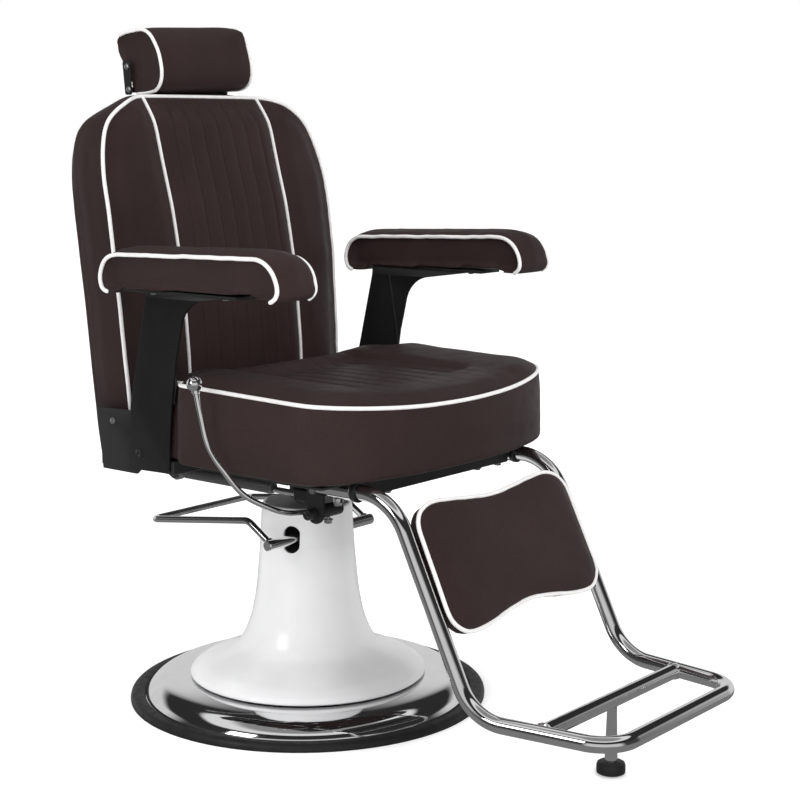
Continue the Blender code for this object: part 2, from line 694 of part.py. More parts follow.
def make_gas_spring():
    rod = aimed(turned([(SPRING_ROD_R, -0.0200), (SPRING_ROD_R, 0.1430)], 14, False), "Y")
    rod.transform(Matrix.Rotation(math.pi, 4, "Z"))
    stem = finish(rod, "gas_spring_rod", chrome(), "swivel", (SPRING_X, 0, SPRING_Z))
    clevis = block((-0.0090, -0.1775, -0.0100), (0.0070, -0.1425, 0.0095))
    boolean(stem, [clevis], "UNION")

    front, back = -0.0925, 0.1140
    bore = SPRING_ROD_R + 0.0006
    profile = [(bore, front), (SPRING_R - 0.003, front), (SPRING_R, front + 0.004), (SPRING_R, back - 0.003),
               (SPRING_R - 0.003, back), (0.0005, back), (0.0005, 0.0640), (bore, 0.0640)]
    bm = turned(profile, 24, True)
    bm.transform(Matrix.Rotation(-math.pi / 2, 4, "X"))
    tube = finish(bm, "gas_spring_cylinder", material("spring_grey", (0.18, 0.18, 0.19), 0.35, 0.6),
                  "spring_stroke", (SPRING_X, 0, SPRING_Z))
    eye = cylinder(0.0125, -0.0060, 0.0060, "X", 20)
    eye.transform(Matrix.Translation((0, SPRING_PIN_Y, 0)))
    neck = block((-0.0050, back - 0.004, -0.0070), (0.0050, SPRING_PIN_Y - 0.009, 0.0070))
    boolean(tube, [eye, neck], "UNION")
    hole = cylinder(0.0085, -0.02, 0.02, "X", 20)
    hole.transform(Matrix.Translation((0, SPRING_PIN_Y, 0)))
    boolean(tube, [hole], "DIFFERENCE")


def make_release():
    outline = arc((RELEASE_Y, RELEASE_Z), 0.0175, 180, 360, 12)
    outline += [(-0.1795, 0.4345), (-0.2145, 0.4345)]
    plate = finish(prism(outline, -0.1978, -0.1928), "release_bracket", black_steel(), "swivel", smooth=False)
    hole = cylinder(0.0080, -0.21, -0.18, "X", 20)
    hole.transform(Matrix.Translation((0, RELEASE_Y, RELEASE_Z)))
    boolean(plate, [hole], "DIFFERENCE")

    pivot = Vector((0, RELEASE_Y, RELEASE_Z))
    profile = [(0.0125, -0.2170), (0.0135, -0.2160), (0.0135, -0.1982), (0.0075, -0.1982),
               (0.0075, -0.1922), (0.0110, -0.1922), (0.0110, -0.1400)]
    bm = turned(profile, 24, False)
    bm.transform(Matrix.Rotation(math.pi / 2, 4, "Y"))
    finish(bm, "release_shaft", black_plastic(), "recline_lever", pivot)

    route = [(-0.2080, -0.1800, 0.3838), (-0.2170, -0.1630, 0.3865), (-0.2640, -0.1330, 0.3990),
             (-0.3000, -0.1180, 0.4260), (-0.3220, -0.1060, 0.4600), (-0.3320, -0.0940, 0.4980),
             (-0.3350, -0.0830, 0.5430), (-0.3350, -0.0768, 0.5800)]
    bm = swept([p - pivot for p in smooth_path(route, 4)], LEVER_R, 12)
    finish(bm, "recline_lever_rod", chrome(), "recline_lever", pivot)
    bm = bmesh.new()
    bmesh.ops.create_uvsphere(bm, u_segments=24, v_segments=14, radius=BALL_R)
    ball = Vector((-0.3350, -0.0740, 0.5929))
    bm.transform(Matrix.Translation(ball - pivot))
    finish(bm, "recline_lever_ball", chrome(), "recline_lever", pivot)
    bolt = turned([(0.0030, -0.0114), (0.0030, -0.0170), (0.0068, -0.0170), (0.0068, -0.0225)], 6, False)
    bolt.transform(Matrix.Translation((-0.1660, 0, 0)))
    finish(bolt, "release_clamp_bolt", chrome(), "recline_lever", pivot, smooth=False)


def smooth_path(points, steps):
    """A Catmull-Rom curve through the points."""
    points = [Vector(p) for p in points]
    ends = [points[0] * 2 - points[1]] + points + [points[-1] * 2 - points[-2]]
    path = []
    for a, b, c, d in zip(ends, ends[1:], ends[2:], ends[3:]):
        for i in range(steps):
            t = i / steps
            path.append(0.5 * (2 * b + (c - a) * t + (2 * a - 5 * b + 4 * c - d) * t ** 2
                               + (3 * b - a - 3 * c + d) * t ** 3))
    path.append(points[-1])
    return path


# ---------------------------------------------------------------- legrest

SLOPE = Vector((0, ANKLE_Y - KNEE_Y, FOOTREST_Z - TUBE_Z)).normalized()
OUTWARD = Vector((0, SLOPE.z, -SLOPE.y))


def on_slope(x, along, out):
    """A point by its distance down the tubes' slope and out in front of it."""
    return Vector((x, KNEE_Y, TUBE_Z)) + SLOPE * along + OUTWARD * out


def make_sleeve(side):
    name = "left" if side > 0 else "right"
    x = side * TUBE_X
    tube = ring(SLEEVE_R, SLEEVE_BORE_R, SLEEVE_Y[1], SLEEVE_Y[0], "Y", 24)
    finish(tube, f"legrest_sleeve_{name}", chrome(), "swivel", (x, 0, TUBE_Z))
    collar = ring(COLLAR_R, SLEEVE_BORE_R, SLEEVE_Y[1] - COLLAR_LENGTH, SLEEVE_Y[1] - GAP, "Y", 24)
    finish(collar, f"sleeve_collar_{name}", black_plastic(), "swivel", (x, 0, TUBE_Z))
    profile = [(0.0030, -SLEEVE_R - GAP), (0.0030, -0.0210), (0.0068, -0.0210), (0.0068, -0.0265)]
    bolt = turned(profile, 6, False)
    finish(bolt, f"sleeve_bolt_{name}", chrome(), "swivel", (x, -0.2560, TUBE_Z), smooth=False)


def make_legrest_frame():
    half = [(TUBE_X, -0.2280, TUBE_Z), (TUBE_X, KNEE_Y, TUBE_Z), (ANKLE_X, ANKLE_Y, FOOTREST_Z),
            (TOE_X, TOE_Y, FOOTREST_Z)]
    points = half + [(-x, y, z) for x, y, z in half[::-1]]
    path = filleted(points, (0.090, 0.080, 0.055, 0.055, 0.080, 0.090), 6)
    finish(swept(path, TUBE_R, 14), "legrest_tube", chrome(), "legrest")

    reach = (CROSSBAR_Y - ANKLE_Y) / (TOE_Y - ANKLE_Y)
    half_bar = ANKLE_X + (TOE_X - ANKLE_X) * reach - TUBE_R - 0.0015
    finish(cylinder(0.0120, -half_bar, half_bar, "X", 18), "legrest_crossbar", chrome(), "legrest",
           (0, CROSSBAR_Y, FOOTREST_Z))

    stem = [(0.0100, 0.0200), (0.0100, 0.0240), (0.0075, FOOTREST_Z - 0.0124)]
    finish(turned(stem, 18, False), "stop_foot_stem", chrome(), "legrest", (0, CROSSBAR_Y, 0))
    disc = [(0.0205, 0.0020), (0.0225, 0.0040), (0.0225, 0.0165), (0.0205, 0.0196)]
    finish(turned(disc, 24, False), "stop_foot_pad", rubber(), "legrest", (0, CROSSBAR_Y, 0))

    for name, along in (("upper", 0.087), ("lower", 0.177)):
        bm = bmesh.new()
        low, high = -0.0158, -0.0128
        rings = [[on_slope(x, along - 0.012, low), on_slope(x, along + 0.012, low),
                  on_slope(x, along + 0.012, high), on_slope(x, along - 0.012, high)]
                 for x in (-0.204, 0.204)]
        lofted(bm, rings)
        finish(bm, f"legrest_strap_{name}", black_steel(), "legrest", smooth=False)


def legrest_pad_outline(inset, steps=10):
    """(x, along) of the pad: wider at its corners, both ends hollowed."""
    half = PAD_HALF_W - inset
    start, end = PAD_START + inset, PAD_START + PAD_LENGTH - inset
    top = [(half * u, start + 0.016 * (1 - u * u)) for u in (-0.86, -0.5, 0.0, 0.5, 0.86)]
    bottom = [(half * u, end - 0.017 * (1 - u * u)) for u in (0.86, 0.5, 0.0, -0.5, -0.86)]
    middle = (start + end) / 2
    return top + [(half, start + 0.022), (half * 0.985, middle), (half * 0.965, end - 0.022)] + bottom + [
        (-half * 0.965, end - 0.022), (-half * 0.985, middle), (-half, start + 0.022)]


def make_legrest_pad():
    bm = bmesh.new()
    lofted(bm, [[on_slope(x, s, out) for x, s in legrest_pad_outline(0.020)] for out in (-0.0125, -0.0085)])
    finish(bm, "legrest_board", plywood(), "legrest", smooth=False)
    layers = ((-0.0082, 0.0085), (-0.004, 0.0045), (0.0115, 0.0045), (0.0150, 0.0), (PAD_FACE - 0.003, 0.0),
              (PAD_FACE + 0.001, 0.008))
    bm = bmesh.new()
    lofted(bm, [[on_slope(x, s, out) for x, s in legrest_pad_outline(inset)] for out, inset in layers])
    finish(bm, "legrest_pad", leather(), "legrest")


def main():
    clear_scene()
    joint_empty("lift", (0, 0, 0))
    joint_empty("pump_lever", (0, FULCRUM_Y, SHAFT_Z))
    joint_empty("plunger", (0, SHAFT_Y - 0.005, 0))
    joint_empty("swivel", (0, 0, 0))
    joint_empty("recline", (0, RECLINE_Y, RECLINE_Z))
    joint_empty("spring_stroke", (SPRING_X, SPRING_PIN_Y, SPRING_Z))
    joint_empty("recline_lever", (0, RELEASE_Y, RELEASE_Z))
    joint_empty("headrest_height", (0, BAR_TOP_Y, BAR_TOP_Z))
    joint_empty("headrest_tilt", (0, TILT_Y, TILT_Z))
    joint_empty("legrest", (0, SLEEVE_Y[0], TUBE_Z))
    make_base()
    make_pedestal_cover()
    make_pump()
    make_pump_lever()
    make_plunger()
    make_seat_mount()
    make_seat_frame()
    make_seat()
    make_backrest()
    for side in (1, -1):
        make_arm(side)
        make_recline_pin(side)
        make_side_plate(side)
        make_sleeve(side)
    make_headrest_bar()
    make_headrest_pad()
    make_gas_spring()
    make_release()
    make_legrest_frame()
    make_legrest_pad()


main()
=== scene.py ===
"""Looks of the barber chair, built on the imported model. Metres, +Z up, the chair faces -Y."""
import math

import bmesh
import bpy
import numpy as np
from mathutils import Matrix, Vector
from mathutils.bvhtree import BVHTree
from mathutils.kdtree import KDTree


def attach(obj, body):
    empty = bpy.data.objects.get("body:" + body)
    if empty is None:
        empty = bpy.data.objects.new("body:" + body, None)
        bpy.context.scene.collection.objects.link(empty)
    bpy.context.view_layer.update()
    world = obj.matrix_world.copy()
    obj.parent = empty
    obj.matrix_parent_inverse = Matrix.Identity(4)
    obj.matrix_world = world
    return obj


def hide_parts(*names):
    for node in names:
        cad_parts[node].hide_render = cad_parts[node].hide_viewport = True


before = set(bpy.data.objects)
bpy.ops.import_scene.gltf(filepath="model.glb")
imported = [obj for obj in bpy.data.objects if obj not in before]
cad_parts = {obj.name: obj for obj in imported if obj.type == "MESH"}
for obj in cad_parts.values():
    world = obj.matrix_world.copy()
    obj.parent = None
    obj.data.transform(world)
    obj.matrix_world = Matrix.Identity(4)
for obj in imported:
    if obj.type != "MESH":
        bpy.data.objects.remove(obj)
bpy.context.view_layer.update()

# ---- shared places
RECLINE_Y, RECLINE_Z = 0.112, 0.455
FULCRUM_Y, SHAFT_Y, SHAFT_Z = 0.031, -0.031, 0.2915
TUBE_X, TUBE_Z, TUBE_R = 0.2085, 0.4325, 0.0125
KNEE_Y, ANKLE_X, ANKLE_Y = -0.3645, 0.2075, -0.517
TOE_X, TOE_Y, FOOTREST_Z = 0.178, -0.745, 0.118
CROSSBAR_Y = -0.628
RELEASE = Vector((0, -0.197, 0.383))
TILT = Vector((0, 0.303, 1.086))
BAR_LEAN = math.radians(14.5)
BAR_TOP = Vector((0, 0.3158, 1.046))
BAR_FRAME = Matrix.Translation(BAR_TOP) @ Matrix.Rotation(-BAR_LEAN, 4, "X")
ARM_X = 0.304
BALL = Vector((-0.335, -0.074, 0.5929))
SIDES = ((1, "left"), (-1, "right"))
DOWN = (0, 0, -1)


def mm(*points):
    """Points given in millimetres."""
    return [tuple(value / 1000 for value in point) for point in points]


# ---- materials
def new_node(tree, kind, inputs=(), **settings):
    """A node; each input is a value, or another node's output to link."""
    node = tree.nodes.new(kind)
    for key, value in settings.items():
        setattr(node, key, value)
    for key, value in dict(inputs).items():
        if isinstance(value, bpy.types.NodeSocket):
            tree.links.new(value, node.inputs[key])
        else:
            node.inputs[key].default_value = value
    return node


class Look:
    """Builds one node material."""

    def __init__(self, name):
        self.mat = bpy.data.materials.new(name)
        self.mat.use_nodes = True
        self.tree = self.mat.node_tree
        self.shader = self.tree.nodes["Principled BSDF"]
        self.place = self.node("ShaderNodeTexCoord").outputs["Object"]
        self.normal = None

    def node(self, kind, inputs=(), **settings):
        return new_node(self.tree, kind, inputs, **settings)

    def set(self, **values):
        for key, value in values.items():
            self.shader.inputs[key.replace("_", " ")].default_value = value

    def noise(self, scale, detail=4.0, roughness=0.55, stretch=None, distortion=0.0):
        place = self.place
        if stretch:
            place = self.node("ShaderNodeMapping", {"Scale": stretch, "Vector": place}).outputs["Vector"]
        return self.node("ShaderNodeTexNoise", {"Scale": scale, "Detail": detail, "Roughness": roughness,
                                                "Distortion": distortion, "Vector": place}).outputs["Fac"]

    def cells(self, scale, warp=0.0):
        place = self.place
        if warp:
            wobble = self.node("ShaderNodeTexNoise", {"Scale": scale * 0.4, "Vector": place}).outputs["Color"]
            place = self.node("ShaderNodeVectorMath", {0: wobble, 1: (warp, warp, warp), 2: place},
                              operation="MULTIPLY_ADD").outputs["Vector"]
        return self.node("ShaderNodeTexVoronoi", {"Scale": scale, "Vector": place}).outputs["Distance"]

    def ranged(self, value, low, high, start=0.3, end=0.7):
        return self.node("ShaderNodeMapRange", {"From Min": start, "From Max": end, "To Min": low, "To Max": high,
                                                "Value": value}).outputs["Result"]

    def colour(self, factor, low, high, blend="MIX"):
        """Two colours mixed: 0, 6 and 7 are the mix node's factor and colours, 2 its colour out."""
        low, high = [(*c, 1.0) if isinstance(c, tuple) else c for c in (low, high)]
        return self.node("ShaderNodeMix", {0: factor, 6: low, 7: high}, data_type="RGBA",
                         blend_type=blend).outputs[2]

    def base(self, value):
        self.tree.links.new(value, self.shader.inputs["Base Color"])

    def rough(self, value):
        self.tree.links.new(value, self.shader.inputs["Roughness"])

    def bump(self, height, strength, distance):
        inputs = {"Strength": strength, "Distance": distance, "Height": height}
        if self.normal:
            inputs["Normal"] = self.normal
        self.normal = self.node("ShaderNodeBump", inputs).outputs["Normal"]
        self.tree.links.new(self.normal, self.shader.inputs["Normal"])

    def edges(self):
        """0 on flats, towards 1 on worn convex edges."""
        return self.ranged(self.node("ShaderNodeNewGeometry").outputs["Pointiness"], 0.0, 1.0, 0.53, 0.62)


def make_leather(name, dark, light):
    look = Look(name)
    tone = look.ranged(look.noise(5.0, 3.0), 0.0, 1.0, 0.35, 0.65)
    grain = look.cells(620.0, warp=0.0006)
    shade = look.colour(tone, dark, light)
    pores = look.ranged(grain, 0.8, 1.0, 0.25, 0.75)
    look.base(look.colour(1.0, shade, pores, "MULTIPLY"))
    look.rough(look.ranged(look.noise(40.0, 5.0), 0.46, 0.58))
    look.bump(grain, 0.28, 0.00035)
    look.bump(look.noise(1500.0, 3.0), 0.12, 0.0002)
    look.bump(look.noise(22.0, 3.0), 0.1, 0.0016)
    look.set(Specular_IOR_Level=0.16, Sheen_Weight=0.02, Sheen_Roughness=0.45)
    return look.mat


def make_piping():
    look = Look("piping_vinyl")
    look.base(look.colour(look.ranged(look.noise(60.0, 4.0), 0, 1), (0.69, 0.675, 0.67), (0.76, 0.745, 0.74)))
    look.rough(look.ranged(look.noise(90.0, 3.0), 0.3, 0.42))
    look.bump(look.cells(900.0), 0.15, 0.0002)
    look.set(Specular_IOR_Level=0.5, Subsurface_Weight=0.06, Subsurface_Scale=0.002)
    return look.mat


def make_chrome(name="chrome", tint=0.86, rough=(0.035, 0.075)):
    look = Look(name)
    smear = look.noise(30.0, 6.0, 0.6, distortion=0.6)
    look.base(look.colour(look.ranged(smear, 0, 1), (tint - 0.03,) * 3, (tint + 0.02, tint + 0.02, tint + 0.03)))
    look.rough(look.ranged(smear, *rough))
    look.bump(look.noise(420.0, 2.0), 0.01, 0.0002)
    look.set(Metallic=1.0)
    return look.mat


def make_paint(name, flat, edge, rough, peel=0.1, coat=0.0, scale=700.0):
    look = Look(name)
    tone = look.colour(look.ranged(look.noise(14.0, 4.0), 0, 1), tuple(c * 0.86 for c in flat), flat)
    look.base(look.colour(look.edges(), tone, edge))
    look.rough(look.ranged(look.noise(55.0, 5.0), rough - 0.05, rough + 0.06))
    look.bump(look.noise(scale, 2.0), peel, 0.0003)
    look.set(Specular_IOR_Level=0.3, Coat_Weight=coat, Coat_Roughness=0.06)
    return look.mat


def make_steel(name, tone, rough):
    look = Look(name)
    turn = look.noise(900.0, 3.0, stretch=(0.02, 1.0, 1.0))
    look.base(look.colour(look.ranged(turn, 0, 1), tuple(c * 0.8 for c in tone), tone))
    look.rough(look.ranged(look.noise(60.0, 4.0), rough, rough + 0.14))
    look.bump(turn, 0.06, 0.0002)
    look.set(Metallic=1.0)
    return look.mat


def make_plain(name, tone, colours, rough, bump, **sockets):
    """Two close colours, uneven roughness and a fine bump, each from its own noise."""
    look = Look(name)
    look.base(look.colour(look.ranged(look.noise(*tone), 0, 1), *colours))
    look.rough(look.ranged(look.noise(*rough[:2]), *rough[2:]))
    look.bump(look.noise(*bump[:2]), *bump[2:])
    look.set(**sockets)
    return look.mat


LEATHER = make_leather("brown_leatherette", (0.027, 0.0152, 0.015), (0.0345, 0.0196, 0.019))
PIPING = make_piping()
CHROME = make_chrome()
SATIN_CHROME = make_chrome("satin_chrome", 0.8, (0.1, 0.17))
BLACK = make_paint("black_powder_coat", (0.008, 0.008, 0.0083), (0.04, 0.04, 0.042), 0.42, 0.16)
GLOSS_BLACK = make_paint("black_enamel", (0.01, 0.01, 0.011), (0.04, 0.04, 0.04), 0.25, 0.05)
IRON = make_paint("painted_iron", (0.03, 0.03, 0.032), (0.09, 0.09, 0.09), 0.55, 0.5, scale=260.0)
ENAMEL = make_plain("white_enamel", (7.0, 3.0), ((0.8, 0.8, 0.81), (0.86, 0.86, 0.865)),
                    (24.0, 4.0, 0.14, 0.22), (160.0, 2.0, 0.018, 0.0008),
                    Specular_IOR_Level=0.4, Coat_Weight=0.2, Coat_Roughness=0.05)
RUBBER = make_plain("black_rubber", (45.0, 5.0), ((0.006, 0.006, 0.0065), (0.013, 0.013, 0.0135)),
                    (80.0, 4.0, 0.42, 0.6), (900.0, 3.0, 0.18, 0.0003))
PLASTIC = make_plain("black_plastic", (30.0, 3.0), ((0.01, 0.01, 0.011), (0.018, 0.018, 0.019)),
                     (120.0, 3.0, 0.3, 0.42), (1200.0, 2.0, 0.12, 0.0002))
FLOOR = make_plain("studio_floor", (1.4, 3.0), ((0.8, 0.8, 0.8), (0.83, 0.83, 0.83)),
                   (6.0, 3.0, 0.62, 0.72), (260.0, 3.0, 0.04, 0.0004),
                   Emission_Color=(1, 1, 1, 1), Emission_Strength=0.34, Specular_IOR_Level=0.1)
ZINC = make_steel("zinc_steel", (0.62, 0.62, 0.63), 0.24)
STEEL = make_steel("machined_steel", (0.42, 0.42, 0.44), 0.26)
SPRING = make_paint("grey_spring_paint", (0.05, 0.05, 0.052), (0.16, 0.16, 0.16), 0.3, 0.05)
LID_GREY = make_paint("grey_lid_plastic", (0.3, 0.3, 0.305), (0.36, 0.36, 0.36), 0.45, 0.1)
DUST_COVER = make_paint("black_dust_cover", (0.0075, 0.0075, 0.0078), (0.02, 0.02, 0.02), 0.75, 0.35,
                        scale=1400.0)


# ---- mesh helpers
CREASE = 35.0                   # degrees: sharper edges are shaded as edges
moved = Matrix.Translation


def linked(name, data):
    obj = bpy.data.objects.new(name, data)
    bpy.context.scene.collection.objects.link(obj)
    return obj


def shaded(mesh, angle):
    mesh.shade_smooth()
    if angle:
        mesh.set_sharp_from_angle(angle=math.radians(angle))


def make_object(name, bm, mat, angle=CREASE, merge=1e-6):
    if merge:
        bmesh.ops.remove_doubles(bm, verts=bm.verts, dist=merge)
    bmesh.ops.recalc_face_normals(bm, faces=bm.faces)
    mesh = bpy.data.meshes.new(name)
    bm.to_mesh(mesh)
    bm.free()
    mesh.materials.append(mat)
    shaded(mesh, angle)
    return linked(name, mesh)


def shown(obj, body, replaced=()):
    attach(obj, body)
    if replaced:
        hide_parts(*([replaced] if isinstance(replaced, str) else replaced))
    return obj


def add(name, bm, mat, body, replaced=()):
    """A finished piece straight from its mesh."""
    return shown(make_object(name, bm, mat), body, replaced)


def painted(looks):
    """Materials for the CAD nodes that stay visible."""
    for node, look in looks.items():
        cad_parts[node].data.materials[0] = look


def refill(obj, bm, angle=30):
    """Puts an edited mesh back into its piece."""
    bm.to_mesh(obj.data)
    bm.free()
    shaded(obj.data, angle)


def copied(obj):
    bm = bmesh.new()
    bm.from_mesh(obj.data)
    return bm


def taken(bm, obj):
    """Moves a helper piece's mesh into another mesh."""
    bm.from_mesh(obj.data)
    bpy.data.objects.remove(obj, do_unlink=True)


def circle(count):
    """Angles all the way round."""
    return [2 * math.pi * i / count for i in range(count)]


def polygon(radius, z, count):
    return [(radius * math.cos(a), radius * math.sin(a), z) for a in circle(count)]


def skin(bm, rings, caps=True, loop=False):
    made = [[bm.verts.new(p) for p in ring] for ring in rings]
    pairs = list(zip(made, made[1:])) + ([(made[-1], made[0])] if loop else [])
    count = len(made[0])
    for low, high in pairs:
        for i in range(count):
            j = (i + 1) % count
            bm.faces.new((low[i], low[j], high[j], high[i]))
    if caps and not loop:
        bm.faces.new(made[0])
        bm.faces.new(made[-1])
    return bm


def turned(profile, segments=96, hollow=False):
    return skin(bmesh.new(), [polygon(max(r, 1e-5), z, segments) for r, z in profile], loop=hollow)


def aimed(bm, axis, place=(0, 0, 0)):
    turns = {"X": Matrix.Rotation(math.pi / 2, 4, "Y"), "Y": Matrix.Rotation(-math.pi / 2, 4, "X"),
             "Z": Matrix.Identity(4)}
    bm.transform(moved(place) @ turns[axis])
    return bm


def lathe(name, profile, segments, mat, body, replaced, axis="Z", place=(0, 0, 0), hollow=False):
    """A finished piece turned about an axis."""
    add(name, aimed(turned(profile, segments, hollow), axis, place), mat, body, replaced)


def spline(points, steps):
    """A Catmull-Rom curve through points of any dimension."""
    points = [np.array(p, float) for p in points]
    ends = [points[0] * 2 - points[1]] + points + [points[-1] * 2 - points[-2]]
    path = []
    for a, b, c, d in zip(ends, ends[1:], ends[2:], ends[3:]):
        for i in range(steps):
            t = i / steps
            path.append(0.5 * (2 * b + (c - a) * t + (2 * a - 5 * b + 4 * c - d) * t ** 2
                               + (3 * b - a - 3 * c + d) * t ** 3))
    path.append(points[-1])
    return path


def filleted(points, radii, steps=14):
    points = [Vector(p) for p in points]
    path = [points[0]]
    for before, corner, after, radius in zip(points, points[1:], points[2:], radii):
        a, b = (before - corner).normalized(), (after - corner).normalized()
        half = a.angle(b) / 2
        start = corner + a * radius / math.tan(half)
        end = corner + b * radius / math.tan(half)
        centre = corner + (a + b).normalized() * (radius / math.sin(half))
        first = (start - centre).normalized()
        sweep = first.angle(end - centre)
        second = first.cross(end - centre).cross(first).normalized()
        for i in range(steps + 1):
            angle = sweep * i / steps
            path.append(centre + (first * math.cos(angle) + second * math.sin(angle)) * radius)
    path.append(points[-1])
    return path


def swept(path, radius, sides=32, closed=False, bm=None, round_ends=0.0):
    """A round bar along a path; radius is a number or one per point."""
    bm = bm or bmesh.new()
    path = [Vector(p) for p in path]
    count = len(path)
    radii = [radius] * count if isinstance(radius, (int, float)) else list(radius)
    tangents = []
    for i in range(count):
        before = path[i - 1] if i or closed else path[0]
        after = path[(i + 1) % count] if i < count - 1 or closed else path[-1]
        tangents.append((after - before).normalized())
    side = tangents[0].orthogonal().normalized()
    frames = []
    for tangent in tangents:
        side = (side - tangent * side.dot(tangent)).normalized()
        frames.append((side.copy(), tangent.cross(side)))
    twist = 0.0
    if closed:
        last = frames[-1][0]
        last = (last - tangents[0] * last.dot(tangents[0])).normalized()
        twist = math.atan2(last.dot(frames[0][1]), last.dot(frames[0][0]))
    rings = []
    for i, (point, (side, up)) in enumerate(zip(path, frames)):
        offset = -twist * i / count
        rings.append([point + (side * math.cos(a + offset) + up * math.sin(a + offset)) * radii[i]
                      for a in circle(sides)])
    if round_ends and not closed:
        for end in (0, -1):
            tangent = tangents[end] * (-1 if end == 0 else 1)
            side, up = frames[end]
            extra = []
            for step in (0.35, 0.7, 0.92):
                r = radii[end] * math.sqrt(1 - step * step * 0.98)
                centre = path[end] + tangent * round_ends * step
                extra.append([centre + (side * math.cos(a) + up * math.sin(a)) * r for a in circle(sides)])
            rings = extra[::-1] + rings if end == 0 else rings + extra
    return skin(bm, rings, loop=closed)


def plate(outline, low, high):
    """An outline in (y, z) with its thickness along x."""
    return skin(bmesh.new(), [[(x, y, z) for y, z in outline] for x in (low, high)])


def block(low, high, bm=None):
    bm = bm or bmesh.new()
    made = bmesh.ops.create_cube(bm, size=1.0)["verts"]
    size, middle = Vector(high) - Vector(low), (Vector(high) + Vector(low)) / 2
    bmesh.ops.transform(bm, matrix=moved(middle) @ Matrix.Diagonal((*size, 1.0)), verts=made)
    return bm


def side_block(side, xs, ys, zs, bm):
    """A block on the left (1) or right (-1)."""
    low, high = sorted((side * xs[0], side * xs[1]))
    return block((low, ys[0], zs[0]), (high, ys[1], zs[1]), bm)


def modified(obj, kind, **settings):
    """Fixes a modifier's result in the mesh."""
    mod = obj.modifiers.new(kind.title(), kind)
    for key, value in settings.items():
        setattr(mod, key, value)
    bpy.context.view_layer.update()
    mesh = bpy.data.meshes.new_from_object(obj.evaluated_get(bpy.context.evaluated_depsgraph_get()))
    obj.modifiers.clear()
    obj.data = mesh
    return obj


def bevelled(obj, width, segments=3, angle=30.0):
    return modified(obj, "BEVEL", width=width, segments=segments, limit_method="ANGLE",
                    angle_limit=math.radians(angle), harden_normals=True)


def black_part(name, bm, width, body, replaced=(), segments=2):
    """A piece of black sheet or bar with its edges broken."""
    shown(bevelled(make_object(name, bm, BLACK, None), width, segments), body, replaced)


def cut(obj, bm):
    tool = make_object(f"{obj.name}_tool", bm, CHROME)
    modified(obj, "BOOLEAN", object=tool, operation="DIFFERENCE", solver="EXACT")
    bpy.data.objects.remove(tool, do_unlink=True)
    shaded(obj.data, CREASE)


def arc(centre, radius, start, end, steps):
    angles = [math.radians(start + (end - start) * i / steps) for i in range(steps + 1)]
    return [(centre[0] + radius * math.cos(a), centre[1] + radius * math.sin(a)) for a in angles]


def rounded(points, radii, steps=6):
    """A closed 2-D outline with its corners rounded."""
    path = []
    count = len(points)
    for i, (corner, radius) in enumerate(zip(points, radii)):
        if radius <= 0:
            path.append(tuple(corner))
            continue
        trio = [Vector((*points[i - 1], 0)), Vector((*corner, 0)), Vector((*points[(i + 1) % count], 0))]
        path += [(p.x, p.y) for p in filleted(trio, (radius,), steps)[1:-1]]
    return path


def hex_bolt(name, place, axis, body, radius=0.0068, height=0.0055, shank=0.0):
    """A chamfered hexagon head with a washer; axis points out of the head."""
    washer = radius * 1.22
    bm = skin(bmesh.new(), [polygon(radius, z, 6) for z in (0.0012, height)])
    obj = bevelled(make_object(name, bm, ZINC, None), 0.0007, 2, 20)
    bm = copied(obj)
    skin(bm, [polygon(r, z, 28) for r, z in ((washer, 0.0), (washer, 0.0009), (washer - 0.0003, 0.0012),
                                             (radius * 0.5, 0.0012))])
    if shank:
        skin(bm, [polygon(radius * 0.45, z, 20) for z in (-shank, 0.001)])
    turn = Vector((0, 0, 1)).rotation_difference(Vector(axis)).to_matrix().to_4x4()
    bm.transform(moved(place) @ turn)
    refill(obj, bm)
    return shown(obj, body)


def side_screw(name, profile, side, place, mat, body, replaced=(), segments=40):
    """A screw's head on the left (1) or right (-1), facing outwards."""
    head = aimed(turned(profile, segments), "X")
    if side < 0:
        head.transform(Matrix.Rotation(math.pi, 4, "Z"))
    head.transform(moved(place))
    add(name, head, mat, body, replaced)


# ---- base and pedestal
def make_base():
    bm = turned(spline(mm((310, 0), (310.2, 5), (308.5, 10), (304, 13), (296, 13.5), (289, 12.5), (285.5, 10),
                          (284.2, 0)), 5), 160, True)
    add("base_ring", bm, RUBBER, "base", "floor_ring")
    top = spline(mm((283.6, 9), (281.5, 14), (277, 20.5), (269, 27.5), (260, 32.5), (250, 35), (230, 36.8),
                    (190, 39.2), (140, 41.5), (100, 43)), 6)
    under = [(r - 0.0012, z - 0.0026) for r, z in top[::-1]]
    add("base_pan", turned(list(top) + under, 180, True), CHROME, "base", "base_dish")
    painted({"base_plate": IRON})


def pedestal_outer():
    return spline(mm((203, 40.5), (205.8, 42.5), (205.6, 45.5), (203.5, 48.5), (199, 53), (185, 61.5),
                     (165, 69.5), (142, 79.5), (125, 90.5), (113, 106), (104.5, 125), (97.5, 146.5),
                     (92.5, 170), (88, 200.6), (84.8, 236.5), (82.3, 265), (81.8, 276.5), (81.3, 278),
                     (81.6, 279.5), (80.8, 290), (79.5, 315), (78.7, 333), (77.5, 340), (75, 343.2),
                     (72.5, 344)), 6)


